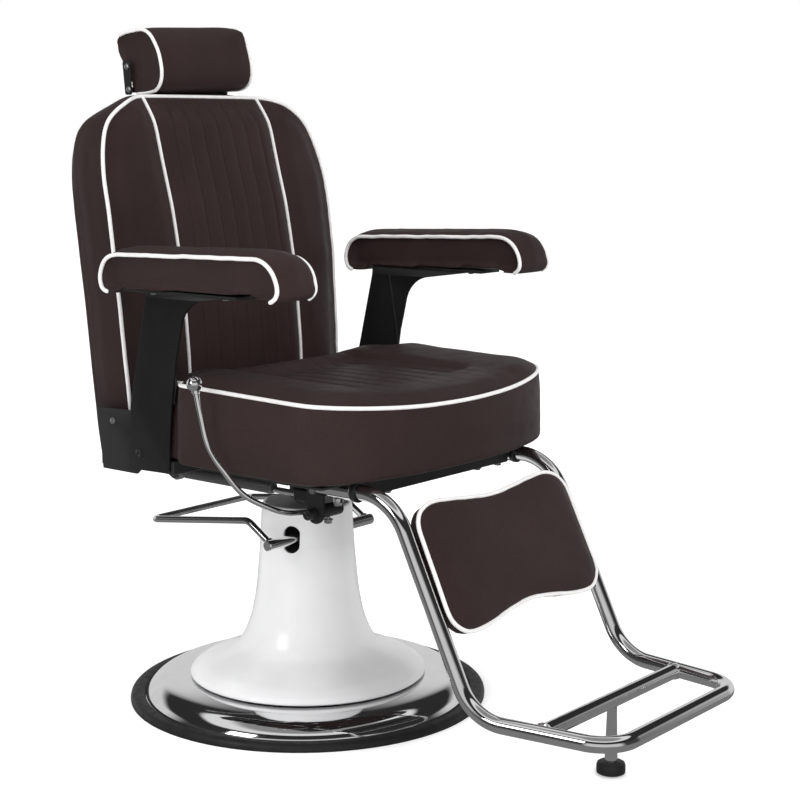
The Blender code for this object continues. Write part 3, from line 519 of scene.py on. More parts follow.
def make_pedestal():
    outer = pedestal_outer()
    inner = [(r - 0.003, min(z, 0.3405)) for r, z in outer[::-1]]
    cover = make_object("pedestal_shell", turned(list(outer) + inner, 180, True), ENAMEL, None)
    slot_line = (arc((SHAFT_Y, SHAFT_Z + 0.01), 0.0135, 0, 180, 20)
                 + arc((SHAFT_Y, SHAFT_Z - 0.01), 0.0135, 180, 360, 20))
    cut(cover, plate(slot_line, -0.12, 0.12))
    shown(cover, "base", "pedestal_cover")
    lid = mm((69.8, 337), (69.8, 342.2), (68.8, 343.2), (56, 344.6), (42, 345.2), (23.5, 345.2), (22.5, 344.5),
             (22.5, 337))
    lathe("pedestal_lid", lid, 96, LID_GREY, "base", "pedestal_cap", hollow=True)
    lathe("ram_column", mm((19, 31), (19, 398), (17.8, 400)), 72, CHROME, "lift", "lift_ram")
    painted({"pump_housing": IRON, "ram_gland": STEEL, "fulcrum_bracket": BLACK, "fulcrum_pin": STEEL,
             "pump_plunger": STEEL, "rocker_plate_left": STEEL, "rocker_plate_right": STEEL})


def make_pump():
    half, r, bar_x = 0.134, 0.0095, 0.122
    shaft = [(0.0058, -half), (r - 0.0016, -half), (r, -half + 0.0016), (r, half - 0.0016), (r - 0.0016, half),
             (0.0058, half)]
    lathe("pump_shaft", shaft, 48, CHROME, "pump_lever", "pump_cross_shaft", "X", (0, SHAFT_Y, SHAFT_Z))
    root, bend, heel = [Vector((bar_x, y, z)) for y, z in ((SHAFT_Y, SHAFT_Z), (0.024, 0.3255), (0.262, 0.2935))]
    points = [root + (bend - root).normalized() * (r - 0.001), bend, heel]
    points += [Vector((-p.x, p.y, p.z)) for p in points[::-1]]
    bar = swept(filleted(points, (0.024, 0.018, 0.018, 0.024), 14), 0.006, 28)
    add("pump_bar", bar, CHROME, "pump_lever", "pump_lever_bar")
    bm = bmesh.new()
    for x in (-bar_x, bar_x):
        place = Vector((x, SHAFT_Y, SHAFT_Z))
        direction = (Vector((x, bend.y, bend.z)) - place).normalized()
        side = Vector((1, 0, 0))
        up = direction.cross(side)
        rings = []
        for distance, grow in ((-0.0014, 0.0024), (-0.0002, 0.0021), (0.001, 0.0008), (0.0022, 0.0001)):
            centre = place + direction * (r + distance)
            rings.append([centre + (side * math.cos(a) + up * math.sin(a)) * (0.006 + grow) for a in circle(28)])
        skin(bm, rings)
    add("pump_bar_welds", bm, SATIN_CHROME, "pump_lever")


# ---- seat structure
def make_seat_structure():
    socket = mm((19.6, 352), (29, 352), (30, 353.2), (30, 402), (31.5, 404.5), (54, 405), (55, 405.8), (55, 410.8),
                (54.2, 411.5), (19.6, 411.5))
    lathe("swivel_hub", socket, 72, BLACK, "seat", "swivel_socket", hollow=True)
    low, high = 0.4181, 0.4495
    bm = bmesh.new()
    for side in (1, -1):
        for xs, ys, zs in (((0.1675, 0.1925), (-0.2898, 0.1), (low, high)),
                           ((0.19, 0.2797), (0.035, 0.074), (0.4265, high - 0.001)),
                           ((0.19, 0.28), (-0.216, -0.19), (0.4425, high - 0.0012)),
                           ((0.235, 0.2795), (-0.285, -0.195), (0.443, high - 0.0016))):
            side_block(side, xs, ys, zs, bm)
    for front, rear in ((-0.2893, -0.2648), (-0.115, -0.085), (0.075, 0.0995)):
        block((-0.18, front, low + 0.0005), (0.18, rear, high - 0.0005), bm)
    rails = make_object("seat_rails", bm, BLACK, None, merge=0)
    shown(bevelled(rails, 0.0018, 2), "seat", "seat_frame")
    mount = block((-0.1, -0.12, 0.4118), (0.1, 0.12, 0.4178))
    black_part("mount_plate", mount, 0.001, "seat", "seat_mount_plate")
    for i, (x, y) in enumerate(((-0.075, -0.1), (0.075, -0.1), (-0.075, 0.09), (0.075, 0.09))):
        hex_bolt(f"mount_bolt_{i}", (x, y, 0.4117), DOWN, "seat", 0.0075, 0.006)
    painted({"seat_board": DUST_COVER})
    for i, x in enumerate((-0.118, 0.118)):
        hex_bolt(f"front_rail_bolt_{i}", (x, -0.28, 0.4185), DOWN, "seat", 0.006, 0.0042)
    tube = mm((13, -290), (15, -290), (15.5, -289.5), (15.5, -222.5), (15, -222), (13, -222))
    collar = mm((13, -300.5), (15, -300.5), (16.3, -299.8), (16.8, -298.2), (16.8, -292.5), (16.2, -290.8),
                (13, -290.3))
    boss = mm((4.5, -14.5), (7.8, -15), (7.8, -20.5), (7, -21), (0, -21))
    for side, name in SIDES:
        x = side * TUBE_X
        lathe(f"sleeve_tube_{name}", tube, 56, CHROME, "seat", f"legrest_sleeve_{name}", "Y",
              (x, 0, TUBE_Z), True)
        lathe(f"collar_{name}", collar, 56, PLASTIC, "seat", f"sleeve_collar_{name}", "Y",
              (x, 0, TUBE_Z), True)
        lathe(f"sleeve_boss_{name}", boss, 32, CHROME, "seat", f"sleeve_bolt_{name}", "Z",
              (x, -0.256, TUBE_Z))
        hex_bolt(f"sleeve_screw_{name}", (x, -0.256, TUBE_Z - 0.021), DOWN, "seat", 0.0068, 0.006)


def arm_outline():
    top = 0.7328
    fillet = arc((-0.048, 0.6575), 0.0567, 10, 80, 16)
    points = [(0.139, 0.4262), (0.128, 0.543), (0.088, 0.713), (0.086, top), (-0.165, top), (-0.16, 0.7305)]
    return points + fillet[::-1] + mm((15, 637.3), (20.7, 615), (27.5, 571), (36, 508), (42, 432), (45, 428.5))


def make_arm_bracket(side, name):
    low, high = sorted((side * 0.28, side * 0.285))
    body = make_object(f"arm_plate_{name}", plate(arm_outline(), low, high), BLACK, None)
    bevelled(body, 0.0012, 3, 25)
    bm = copied(body)
    flange = side_block(side, (0.279, 0.335), (-0.165, 0.084), (0.7268, 0.7322), bmesh.new())
    taken(bm, bevelled(make_object("flange", flange, BLACK, None), 0.0012, 3))
    inner = side * 0.28
    crease = [(inner, 0.0475, 0.726), (inner, 0.0262, 0.597), (inner, 0.03, 0.545)]
    swept(spline(crease, 10), 0.0019, 12, bm=bm, round_ends=0.001)
    refill(body, bm)
    shown(body, "seat", f"arm_bracket_{name}")
    for i, y in enumerate((-0.12, 0.04)):
        hex_bolt(f"arm_screw_{name}_{i}", (side * 0.31, y, 0.7267), DOWN, "seat", 0.0052, 0.0045)
    side_screw(f"pivot_cap_{name}", mm((6.8, 0), (6.8, 1.2), (5.6, 2.1), (0, 2.3)), side,
               (side * 0.2851, RECLINE_Y, RECLINE_Z), BLACK, "seat")
    painted({f"recline_pin_{name}": STEEL})


# ---- recline control
def make_gas_spring():
    x, z, r = -0.18, 0.4045, 0.0105
    rod = aimed(turned(mm((4.5, -20.5), (5, -19.5), (5, 143)), 40), "Y")
    rod.transform(moved((x, 0, z)) @ Matrix.Rotation(math.pi, 4, "Z"))
    add("spring_stem", rod, CHROME, "seat", "gas_spring_rod")
    lug = block((-0.189, -0.1775, 0.3945), (-0.173, -0.1425, 0.414))
    black_part("spring_clevis", lug, 0.003, "seat", segments=3)
    case = [(0.0056, -0.0925), (0.008, -0.0925), (0.0092, -0.0915), (0.0095, -0.088), (r, -0.0865), (r, 0.1085),
            (0.0098, 0.112), (0.008, 0.114), (0.0, 0.114)]
    case = make_object("spring_case", aimed(turned(case, 56), "Y", (x, 0, z + 0.0025)), SPRING)
    eye = turned(mm((8.5, -6), (12, -6), (12.5, -5.5), (12.5, 5.5), (12, 6), (8.5, 6)), 48, True)
    merged = copied(case)
    taken(merged, make_object("eye", aimed(eye, "X", (x, 0.13, z)), SPRING))
    block((x - 0.005, 0.112, z - 0.006), (x + 0.005, 0.1205, z + 0.006), merged)
    merged.to_mesh(case.data)
    merged.free()
    shown(case, "gas_spring", "gas_spring_cylinder")


def make_recline_control():
    line = arc((RELEASE.y, RELEASE.z), 0.0175, 180, 360, 28)
    line += mm((-179.5, 430), (-184, 434.5), (-210, 434.5), (-214.5, 430))
    black_part("release_plate", plate(line, -0.1978, -0.1928), 0.0008, "seat", "release_bracket")
    hex_bolt("release_plate_bolt", (-0.1979, -0.1935, 0.419), (-1, 0, 0), "seat", 0.0052, 0.0045)
    hub = turned(mm((0, -217.8), (6, -217.8), (7.8, -217.2), (8.8, -215.8), (8.8, -199), (8.2, -198.2),
                    (7.5, -198.2), (7.5, -192.2), (10.5, -192.2), (11, -191.5), (11, -140.8), (10.2, -140),
                    (0, -140)), 56)
    hub.transform(moved(RELEASE) @ Matrix.Rotation(math.pi / 2, 4, "Y"))
    add("release_hub", hub, GLOSS_BLACK, "recline_lever", "release_shaft")
    route = mm((-206.5, -186.2, 384.5), (-240, -180, 388), (-268, -169, 398.5), (-303, -145, 423),
               (-324.5, -123, 461.9), (-333, -100, 498.5), (-335, -87, 543), (-335, -75.8, 584))
    add("lever_rod", swept(spline(route, 12), 0.0045, 28), CHROME, "recline_lever", "recline_lever_rod")
    bm = bmesh.new()
    bmesh.ops.create_uvsphere(bm, u_segments=64, v_segments=32, radius=0.0125)
    neck = turned(mm((4.8, -16), (6, -15.5), (6.4, -12.8), (6, -10)), 40)
    down = Vector((0, -0.009, -0.044)).normalized()
    neck.transform(Vector(DOWN).rotation_difference(down).to_matrix().to_4x4())
    taken(bm, make_object("neck", neck, CHROME, merge=0))
    bm.transform(moved(BALL))
    add("lever_ball", bm, CHROME, "recline_lever", "recline_lever_ball")
    bolt = hex_bolt("lever_set_bolt", (-0.166, RELEASE.y, RELEASE.z - 0.015), DOWN, "recline_lever", 0.0066,
                    0.0065, 0.004)
    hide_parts("release_clamp_bolt")


# ---- backrest hardware
def make_back_hardware():
    painted({"backrest_lower_bar": BLACK, "spring_rear_pin": STEEL, "headrest_guide": BLACK})
    for side, name in SIDES:
        low, high = sorted((side * 0.2747, side * 0.2795))
        line = arc((RECLINE_Y, RECLINE_Z), 0.02, 80, 245, 20)
        line += mm((124, 417.6), (207, 417.6), (218, 520), (130, 523))
        black_part(f"side_plate_{name}", plate(line, low, high), 0.0008, "backrest", f"backrest_side_plate_{name}")
        side_screw(f"side_plate_screw_{name}", mm((6.2, 0), (6.2, 1), (5.2, 2.6), (3, 3.3), (0, 3.4)),
                   side, (side * 0.2796, 0.1785, 0.501), ZINC, "backrest")


def make_headrest_frame():
    bm = block((-0.02, -0.003, -0.19), (0.02, 0.003, 0.006))
    bm.transform(BAR_FRAME)
    block((-0.1172, 0.3035, 1.042), (0.1172, 0.3105, 1.0515), bm)
    block((-0.0195, 0.306, 1.0425), (0.0195, 0.3165, 1.051), bm)
    yoke = bevelled(make_object("yoke_bar", bm, BLACK, None, merge=0), 0.001, 2)
    bm = copied(yoke)
    line = rounded(mm((316.5, 1095.5), (297.5, 1095.5), (295, 1038), (310.5, 1038)), [0.004] * 4)
    for side in (1, -1):
        ends = sorted((side * 0.1145, side * 0.1175))
        taken(bm, bevelled(make_object("link", plate(line, *ends), BLACK, None), 0.0006, 2))
    refill(yoke, bm)
    shown(yoke, "headrest_post", "headrest_yoke")
    profile = mm((3, -5.5), (3, 0), (5.2, 0), (5.2, 0.8), (4, 2.2), (2.2, 2.7), (0, 2.8))
    for side, name in SIDES:
        for tag, y, z, body, replaced in (("tilt", TILT.y + 0.0015, TILT.z, "headrest", f"headrest_screw_{name}"),
                                          ("lower", 0.3005, 1.047, "headrest_post", ())):
            side_screw(f"link_screw_{tag}_{name}", profile, side, (side * 0.1176, y, z), ZINC, body,
                       replaced, 36)


# ---- legrest metal
SLOPE = Vector((0, ANKLE_Y - KNEE_Y, FOOTREST_Z - TUBE_Z)).normalized()
OUTWARD = Vector((0, SLOPE.z, -SLOPE.y))


def on_slope(x, along, out):
    return Vector((x, KNEE_Y, TUBE_Z)) + SLOPE * along + OUTWARD * out


def make_legrest_metal():
    half = [(TUBE_X, -0.228, TUBE_Z), (TUBE_X, KNEE_Y, TUBE_Z), (ANKLE_X, ANKLE_Y, FOOTREST_Z),
            (TOE_X, TOE_Y, FOOTREST_Z)]
    points = half + [(-x, y, z) for x, y, z in half[::-1]]
    path = filleted(points, (0.09, 0.08, 0.055, 0.055, 0.08, 0.09), 22)
    add("footrest_tube", swept(path, TUBE_R, 56), CHROME, "legrest", "legrest_tube")
    reach = (CROSSBAR_Y - ANKLE_Y) / (TOE_Y - ANKLE_Y)
    end = ANKLE_X + (TOE_X - ANKLE_X) * reach - 0.006
    lathe("footrest_bar", [(0.012, -end), (0.012, end)], 56, CHROME, "legrest", "legrest_crossbar", "X",
          (0, CROSSBAR_Y, FOOTREST_Z))
    bm = bmesh.new()
    for side in (1, -1):
        skin(bm, [[(side * (end - back), CROSSBAR_Y + r * math.cos(a), FOOTREST_Z + 0.96 * r * math.sin(a))
                   for a in circle(48)]
                  for back, r in ((0.0088, 0.0121), (0.0074, 0.0133), (0.006, 0.0142), (0.002, 0.015))])
    add("footrest_bar_welds", bm, SATIN_CHROME, "legrest")
    stem = mm((0, 19.5), (9.8, 19.5), (10, 21), (10, 25), (8.8, 60), (7.8, 100), (8, 107.5))
    lathe("stop_stem", stem, 48, CHROME, "legrest", "stop_foot_stem", "Z", (0, CROSSBAR_Y, 0))
    foot = mm((0, 2), (20, 2), (22.2, 3.2), (22.5, 6), (22.5, 14.5), (21.5, 18), (19, 19.6), (0, 19.6))
    lathe("stop_rubber", foot, 64, RUBBER, "legrest", "stop_foot_pad", "Z", (0, CROSSBAR_Y, 0))
    painted({"legrest_strap_upper": BLACK, "legrest_strap_lower": BLACK, "legrest_board": DUST_COVER})


# ---- soft parts
CLOTH_PRESSURE, CLOTH_FRAMES = 4.0, 20
SEAM_WIDTH = 0.0045             # how wide the leather is drawn in along a seam
PIPE_STEP = 0.004


def coordinates(mesh):
    co = np.empty(len(mesh.vertices) * 3)
    mesh.vertices.foreach_get("co", co)
    return co.reshape(-1, 3)


def set_coordinates(mesh, co):
    mesh.vertices.foreach_set("co", co.ravel())
    mesh.update()


def vertex_normals(mesh):
    out = np.empty(len(mesh.vertices) * 3)
    mesh.vertex_normals.foreach_get("vector", out)
    return out.reshape(-1, 3)


def swollen(obj, cap):
    """How far each point moves when the cover is blown up as cloth, capped."""
    rest = coordinates(obj.data)
    scene = bpy.context.scene
    scene.frame_set(1)
    mod = obj.modifiers.new("Cloth", "CLOTH")
    mod.settings.use_pressure = True
    mod.settings.uniform_pressure_force = CLOTH_PRESSURE
    mod.settings.effector_weights.gravity = 0
    mod.settings.quality = 5
    mod.collision_settings.use_collision = False
    mod.point_cache.frame_start = 1
    mod.point_cache.frame_end = CLOTH_FRAMES
    for step in range(1, CLOTH_FRAMES + 1):
        scene.frame_set(step)
    moved_to = coordinates(obj.evaluated_get(bpy.context.evaluated_depsgraph_get()).data)
    obj.modifiers.clear()
    scene.frame_set(1)
    delta = moved_to - rest
    length = np.linalg.norm(delta, axis=1, keepdims=True)
    delta = delta * np.minimum(1.0, cap / np.maximum(length, 1e-9))
    return evened(obj.data, delta, 24) * 0.6 + vertex_normals(obj.data) * cap * 0.3


def nearest(co, lines):
    """Distance from each point to the nearest of the seam lines."""
    points = []
    for line in lines:
        line = [np.array(p, float) for p in line]
        for a, b in zip(line, line[1:]):
            steps = max(1, int(np.linalg.norm(b - a) / 0.002))
            points += [a + (b - a) * i / steps for i in range(steps)]
        points.append(line[-1])
    tree = KDTree(len(points))
    for i, p in enumerate(points):
        tree.insert(p, i)
    tree.balance()
    return np.array([tree.find(p)[2] for p in co])


def smooth(t):
    t = np.clip(t, 0, 1)
    return t * t * (3 - 2 * t)


def evened(mesh, values, rounds):
    """One vector per vertex, evened out with its neighbours."""
    edges = np.empty(len(mesh.edges) * 2, dtype=np.int64)
    mesh.edges.foreach_get("vertices", edges)
    a, b = edges.reshape(-1, 2).T
    count = np.maximum(np.bincount(np.concatenate([a, b]), minlength=len(values)), 1)[:, None]
    for _ in range(rounds):
        total = np.stack([np.bincount(a, values[b, k], len(values)) + np.bincount(b, values[a, k], len(values))
                          for k in range(3)], axis=1)
        values = values + (total / count - values) * 0.5
    return values


def relaxed(mesh, rounds):
    set_coordinates(mesh, evened(mesh, coordinates(mesh), rounds))


def upholstered(name, bm, voxel, cap, seams, body, replaced, reach, groove, keep, relief=None):
    """A stuffed piece: remeshed, blown up as cloth, drawn in along its seams and given its relief."""
    obj = modified(make_object(name, bm, LEATHER, None), "REMESH", mode="VOXEL", voxel_size=voxel)
    relaxed(obj.data, 3)
    rest = coordinates(obj.data)
    delta = swollen(obj, cap)
    share = smooth(nearest(rest, seams) / reach) * keep(rest)
    set_coordinates(obj.data, rest + delta * share[:, None])
    relaxed(obj.data, 2)
    modified(obj, "SUBSURF", levels=1, render_levels=1)
    co, normals = coordinates(obj.data), vertex_normals(obj.data)
    push = -groove * np.exp(-(nearest(co, seams) / SEAM_WIDTH) ** 2)
    if relief:
        push = push + relief(co, normals)
    set_coordinates(obj.data, co + normals * push[:, None])
    obj.data.materials.clear()
    obj.data.materials.append(LEATHER)
    obj.data.shade_smooth()
    shown(obj, body, replaced)
    return obj


def piped(name, cushion, line, closed, body, radius=0.0033):
    """Piping laid on the cushion's surface along a line, sunk in a little."""
    bm = copied(cushion)
    tree = BVHTree.FromBMesh(bm)
    path = []
    for p in even(line, PIPE_STEP, closed):
        spot, normal, _, _ = tree.find_nearest(Vector(p))
        path.append(np.array(spot + normal * radius * 0.4))
    bm.free()
    path = np.array(path)
    for _ in range(6):
        if closed:
            path = path * 0.5 + (np.roll(path, 1, 0) + np.roll(path, -1, 0)) * 0.25
        else:
            path[1:-1] = path[1:-1] * 0.5 + (path[:-2] + path[2:]) * 0.25
    tube = swept(path, radius, 14, closed, round_ends=0 if closed else radius)
    shown(make_object(name, tube, PIPING, 60), body)


def even(line, step, closed=False):
    """The line's points again, spaced evenly."""
    line = [np.array(p, float) for p in line]
    if closed:
        line.append(line[0])
    lengths = np.concatenate([[0], np.cumsum([np.linalg.norm(b - a) for a, b in zip(line, line[1:])])])
    count = max(2, int(round(lengths[-1] / step)))
    spots = np.linspace(0, lengths[-1], count + 1)
    out = np.stack([np.interp(spots, lengths, np.array(line)[:, k]) for k in range(3)], axis=1)
    return list(out[:-1] if closed else out)


# seat
SEAT_HALF, SEAT_NECK, NECK_Y, SEAT_FRONT, SEAT_REAR = 0.3005, 0.2715, 0.012, -0.35, 0.115
SEAT_MID_Y = -0.12
RECESS_X, RECESS_Y = 0.152, -0.246


def seat_outline(inset=0.0):
    half = SEAT_HALF - inset
    right = []
    for i in range(41):
        t = math.pi / 2 * i / 40
        right.append((half * math.sin(t) ** 0.94, -0.25 + (SEAT_FRONT + inset + 0.25) * math.cos(t) ** 0.94))
    right += [(half, y) for y in np.linspace(-0.235, NECK_Y - 0.03, 18)]
    right += arc((half - 0.015, NECK_Y - 0.019), 0.015, 8, 84, 5)
    neck = SEAT_NECK - inset
    right += arc((neck + 0.009, NECK_Y + 0.006), 0.009, 258, 190, 4)
    right += [(neck, y) for y in np.linspace(NECK_Y + 0.014, SEAT_REAR - inset - 0.035, 7)]
    right += arc((neck - 0.03, SEAT_REAR - inset - 0.03), 0.03, 6, 90, 8)
    return right + [(-x, y) for x, y in right[::-1] if x > 1e-6]


def seat_pipe_z(x, y):
    return 0.565 + 0.024 * y + 0.175 * x * x - 0.03 * float(smooth((y - 0.035) / 0.06))


def seat_top(x, y, edge):
    """Height of the seat's top: bolsters and a front roll round a lower fluted panel."""
    border = seat_pipe_z(x, y) + 0.0115 * (1 - math.exp(-edge / 0.016))
    border += 0.003 * math.exp(-((abs(x) - 0.215) / 0.05) ** 2)
    border -= 0.026 * float(smooth((y - 0.015) / 0.12)) - 0.03 * float(smooth((y - 0.035) / 0.06))
    low = 0.57 - 0.017 * float(smooth((y + 0.06) / 0.18))
    inside = float(smooth((RECESS_X + 0.02 - abs(x)) / 0.046)) * float(smooth((y - RECESS_Y + 0.012) / 0.042))
    return border + (low - border) * inside


def make_seat():
    outline = seat_outline()
    rings = []
    for z, inset in ((0.4505, 0.006), (0.4507, 0.0), (0.453, -0.005), (0.462, -0.0058), (0.5, -0.004),
                     (0.535, -0.003)):
        rings.append([(x, y, z) for x, y in seat_outline(inset)])
    rings.append([(x, y, seat_pipe_z(x, y) - 0.006) for x, y in seat_outline(-0.0005)])
    rings.append([(x, y, seat_pipe_z(x, y)) for x, y in seat_outline(0.0008)])
    for k in np.linspace(0.985, 0.02, 46):
        ring = []
        for x, y in outline:
            px, py = x * k, SEAT_MID_Y + (y - SEAT_MID_Y) * k
            ring.append((px, py, seat_top(px, py, (1 - k) * math.hypot(x, y - SEAT_MID_Y))))
        rings.append(ring)
    bm = skin(bmesh.new(), rings)
    pipe = [(x, y, seat_pipe_z(x, y)) for x, y in outline]
    corner_seams = [[(s * 0.16, RECESS_Y - 0.002, 0.575), (s * 0.175, RECESS_Y - 0.01, 0.577),
                     (s * 0.196, RECESS_Y - 0.022, 0.574), (s * 0.212, RECESS_Y - 0.045, 0.566),
                     (s * 0.2205, RECESS_Y - 0.07, 0.562)] for s in (1, -1)]
    panel = [(-RECESS_X, 0.1, 0.575), (-RECESS_X, RECESS_Y + 0.02, 0.575), (-RECESS_X + 0.02, RECESS_Y, 0.572),
             (RECESS_X - 0.02, RECESS_Y, 0.572), (RECESS_X, RECESS_Y + 0.02, 0.575), (RECESS_X, 0.1, 0.575)]
    flutes = [-0.1295 + 0.037 * i for i in range(8)]

    def relief(co, normals):
        x, y, z = co.T
        top = smooth((normals[:, 2] - 0.55) / 0.25) * (z > 0.54)
        inside = smooth((RECESS_X - 0.002 - np.abs(x)) / 0.012) * smooth((y - RECESS_Y + 0.035) / 0.05) * top
        near_line = np.min(np.abs(x[:, None] - np.array(flutes)[None, :]), axis=1)
        lines = -0.0016 * np.exp(-(near_line / 0.0024) ** 2) + 0.0006 * smooth(near_line / 0.016)
        seam = -0.0012 * np.exp(-(nearest(co, [panel]) / 0.004) ** 2) * top
        near_corner = nearest(co, corner_seams)
        return lines * inside + seam - 0.0018 * np.exp(-(near_corner / 0.0028) ** 2) * top

    def keep(co):
        x, y, z = co.T
        recess = smooth((RECESS_X + 0.02 - np.abs(x)) / 0.03) * smooth((y - RECESS_Y) / 0.03) * (z > 0.54)
        low = smooth((z - 0.455) / 0.02)
        neck = 1 - 0.9 * smooth((y + 0.02) / 0.05) * smooth((np.abs(x) - 0.2) / 0.04)
        return (1 - 0.75 * recess) * (0.15 + 0.85 * low) * neck

    cushion = upholstered("seat_pad", bm, 0.0045, 0.008, [pipe + pipe[:1]], "seat", "seat_cushion", 0.035,
                          0.0014, keep, relief)
    piped("seat_piping", cushion, pipe, True, "seat")


# backrest
# height, half width, how far back the piping lies there, how far the face bulges forward of it
BACK_LEVELS = mm((430, 256, 149.7, 6), (480, 259.5, 153, 15), (530, 262.5, 156, 21), (600, 265.6, 161, 23),
                 (640, 266.9, 164.3, 22.8), (700, 268.8, 168.9, 22.2), (750, 271, 173.6, 20),
                 (800, 271.2, 179.7, 16.6), (850, 271.2, 186.4, 13), (900, 270.2, 196.6, 8.5),
                 (935, 264.2, 205.2, 7.5), (955, 258.8, 209.8, 7.2), (975, 251.1, 214.7, 6.8),
                 (990, 242.4, 217.5, 6), (1002, 231, 219.4, 5.2), (1014, 214.1, 221.4, 4),
                 (1022, 199.8, 222.1, 3), (1036, 150, 227, 1))
BACK_DEPTH = 0.0975
# height, how much thinner the top corners are
BACK_TAPER = mm((850, 0), (900, 5.5), (950, 11), (980, 20), (1000, 30), (1020, 47), (1037, 59))
STRIPE_X = 0.14
BACK_MID_Z = 0.72


def back_value(z, column):
    levels = np.array(BACK_LEVELS)
    return float(np.interp(z, levels[:, 0], levels[:, column]))


def back_outline():
    """(x, z) round the backrest's face from the lower left, over the top, to the lower right."""
    side = [(0.25, 0.429), (0.2555, 0.432)]
    side += [tuple(p) for p in spline([(w, z) for z, w, _, _ in BACK_LEVELS[1:-1]], 4)]
    side += [tuple(p) for p in spline(mm((199.8, 1022), (183.8, 1028.5), (168, 1032.7), (149, 1035.5),
                                         (100, 1036.6), (0, 1036.9)), 5)[1:]]
    return side + [(-x, z) for x, z in side[::-1][1:]]


def top_set_back(x, z):
    """The middle of the top edge rolls back a little."""
    return 0.014 * float(smooth((z - 0.985) / 0.05)) * float(smooth((0.2 - abs(x)) / 0.055))


def back_face_y(x, z):
    edge = max(back_value(z, 1), 0.05)
    share = 1 - min(1.0, abs(x) / edge) ** 3.2
    return back_value(z, 2) - back_value(z, 3) * share + top_set_back(x, z)


def make_backrest():
    outline = back_outline()
    rings = []

    def ring(inset, offset):
        out = []
        for x, z in outline:
            k = 1 - inset / max(0.12, math.hypot(x, z - BACK_MID_Z))
            px, pz = x * k, BACK_MID_Z + (z - BACK_MID_Z) * k
            drop = float(np.interp(z, *zip(*BACK_TAPER))) * float(smooth((abs(x) - 0.05) / 0.11))
            out.append((px, back_value(pz, 2) + top_set_back(px, pz) + offset * (1 - drop / BACK_DEPTH), pz))
        return out

    rings.append(ring(0.06, BACK_DEPTH - 0.0005))
    for inset, offset in ((0.02, BACK_DEPTH), (0.01, BACK_DEPTH - 0.001), (0.004, BACK_DEPTH - 0.005),
                          (0.001, BACK_DEPTH - 0.012), (-0.001, 0.06), (-0.002, 0.03), (-0.0005, 0.007),
                          (0.0005, 0.0)):
        rings.append(ring(inset, offset))
    for k in np.linspace(0.985, 0.03, 40):
        points = []
        for x, z in outline:
            px, pz = x * k, BACK_MID_Z + (z - BACK_MID_Z) * k
            points.append((px, back_face_y(px, pz), pz))
        rings.append(points)
    bm = skin(bmesh.new(), rings)
    pipe = [(x, back_value(z, 2) + top_set_back(x, z), z) for x, z in outline]

    def stripe(side, turn):
        line = []
        for z in np.linspace(0.432, 1.034, 70):
            x = side * STRIPE_X + turn * float(smooth((z - 0.97) / 0.07))
            line.append((x, back_face_y(x, z), z))
        return line

    stripes = [stripe(1, -0.006), stripe(-1, -0.002)]
    rear_seam = [(x * 0.985, y + 0.08, z) for x, y, z in pipe]
    flutes = [STRIPE_X * 2 * (i / 8 - 0.5) for i in range(1, 8)]

    def relief(co, normals):
        x, y, z = co.T
        face = smooth((-normals[:, 1] - 0.45) / 0.3)
        fade = smooth((1.03 - z) / 0.02)
        wave = x * (1 + 0.1 * smooth((z - 0.96) / 0.08))
        near_line = np.min(np.abs(wave[:, None] - np.array(flutes)[None, :]), axis=1)
        inside = smooth((STRIPE_X - 0.004 - np.abs(x)) / 0.01) * face * fade
        return (-0.0026 * np.exp(-(near_line / 0.0026) ** 2) + 0.0014 * smooth(near_line / 0.015)) * inside

    def keep(co):
        x, y, z = co.T
        levels = np.array(BACK_LEVELS)
        rear = smooth((y - np.interp(z, levels[:, 0], levels[:, 2]) - 0.075) / 0.015)
        low = smooth((z - 0.43) / 0.05)
        side = 1 - 0.8 * smooth((0.56 - z) / 0.05) * (np.abs(x) > 0.22)
        return (1 - 0.8 * rear) * (0.15 + 0.85 * low) * side

    cushion = upholstered("back_pad", bm, 0.0045, 0.009, [pipe, *stripes, rear_seam], "backrest",
                          ("backrest_cushion", "backrest_board", "backrest_rear_cover"), 0.04, 0.0014,
                          keep, relief)
    piped("back_piping", cushion, pipe[3:-3], False, "backrest")
    for (_, name), line in zip(SIDES, stripes):
        piped(f"back_stripe_{name}", cushion, line, False, "backrest", 0.0031)
    bezel, hole = [rounded([(-x, y), (x, y), (x, -y), (-x, -y)], [r] * 4)
                   for x, y, r in ((0.03, 0.0052, 0.004), (0.0215, 0.0038, 0.002))]
    rings = [[(x, y, z) for x, y in line] for line, z in
             ((bezel, -0.02), (bezel, -0.004), (bezel, -0.003), (hole, -0.003), (hole, -0.02))]
    bm = skin(bmesh.new(), rings, loop=True)
    bm.transform(moved((0, -0.0008, -0.0045)) @ BAR_FRAME)
    add("bar_bezel", bm, PLASTIC, "backrest")


# arms
ARM_TILT = {1: math.radians(2.1), -1: math.radians(1.4)}     # the pads rise a little towards the front


def arm_pad_outline(rear):
    front, bottom, top = -0.262, 0.7235, 0.787
    outline = mm((82, 733.8), (-196, 733.8), (-206, 732.5), (-222, 726.2))
    outline += arc((front + 0.017, bottom + 0.017), 0.017, 262, 190, 8)
    outline += arc((front + 0.0475, top - 0.0475), 0.0475, 180, 90, 16)
    outline += arc((rear - 0.036, top - 0.036), 0.036, 90, 0, 14)
    outline += arc((rear - 0.017, bottom + 0.019), 0.017, -10, -80, 7)
    return outline + [(0.098, 0.7262), (0.09, 0.7322)]


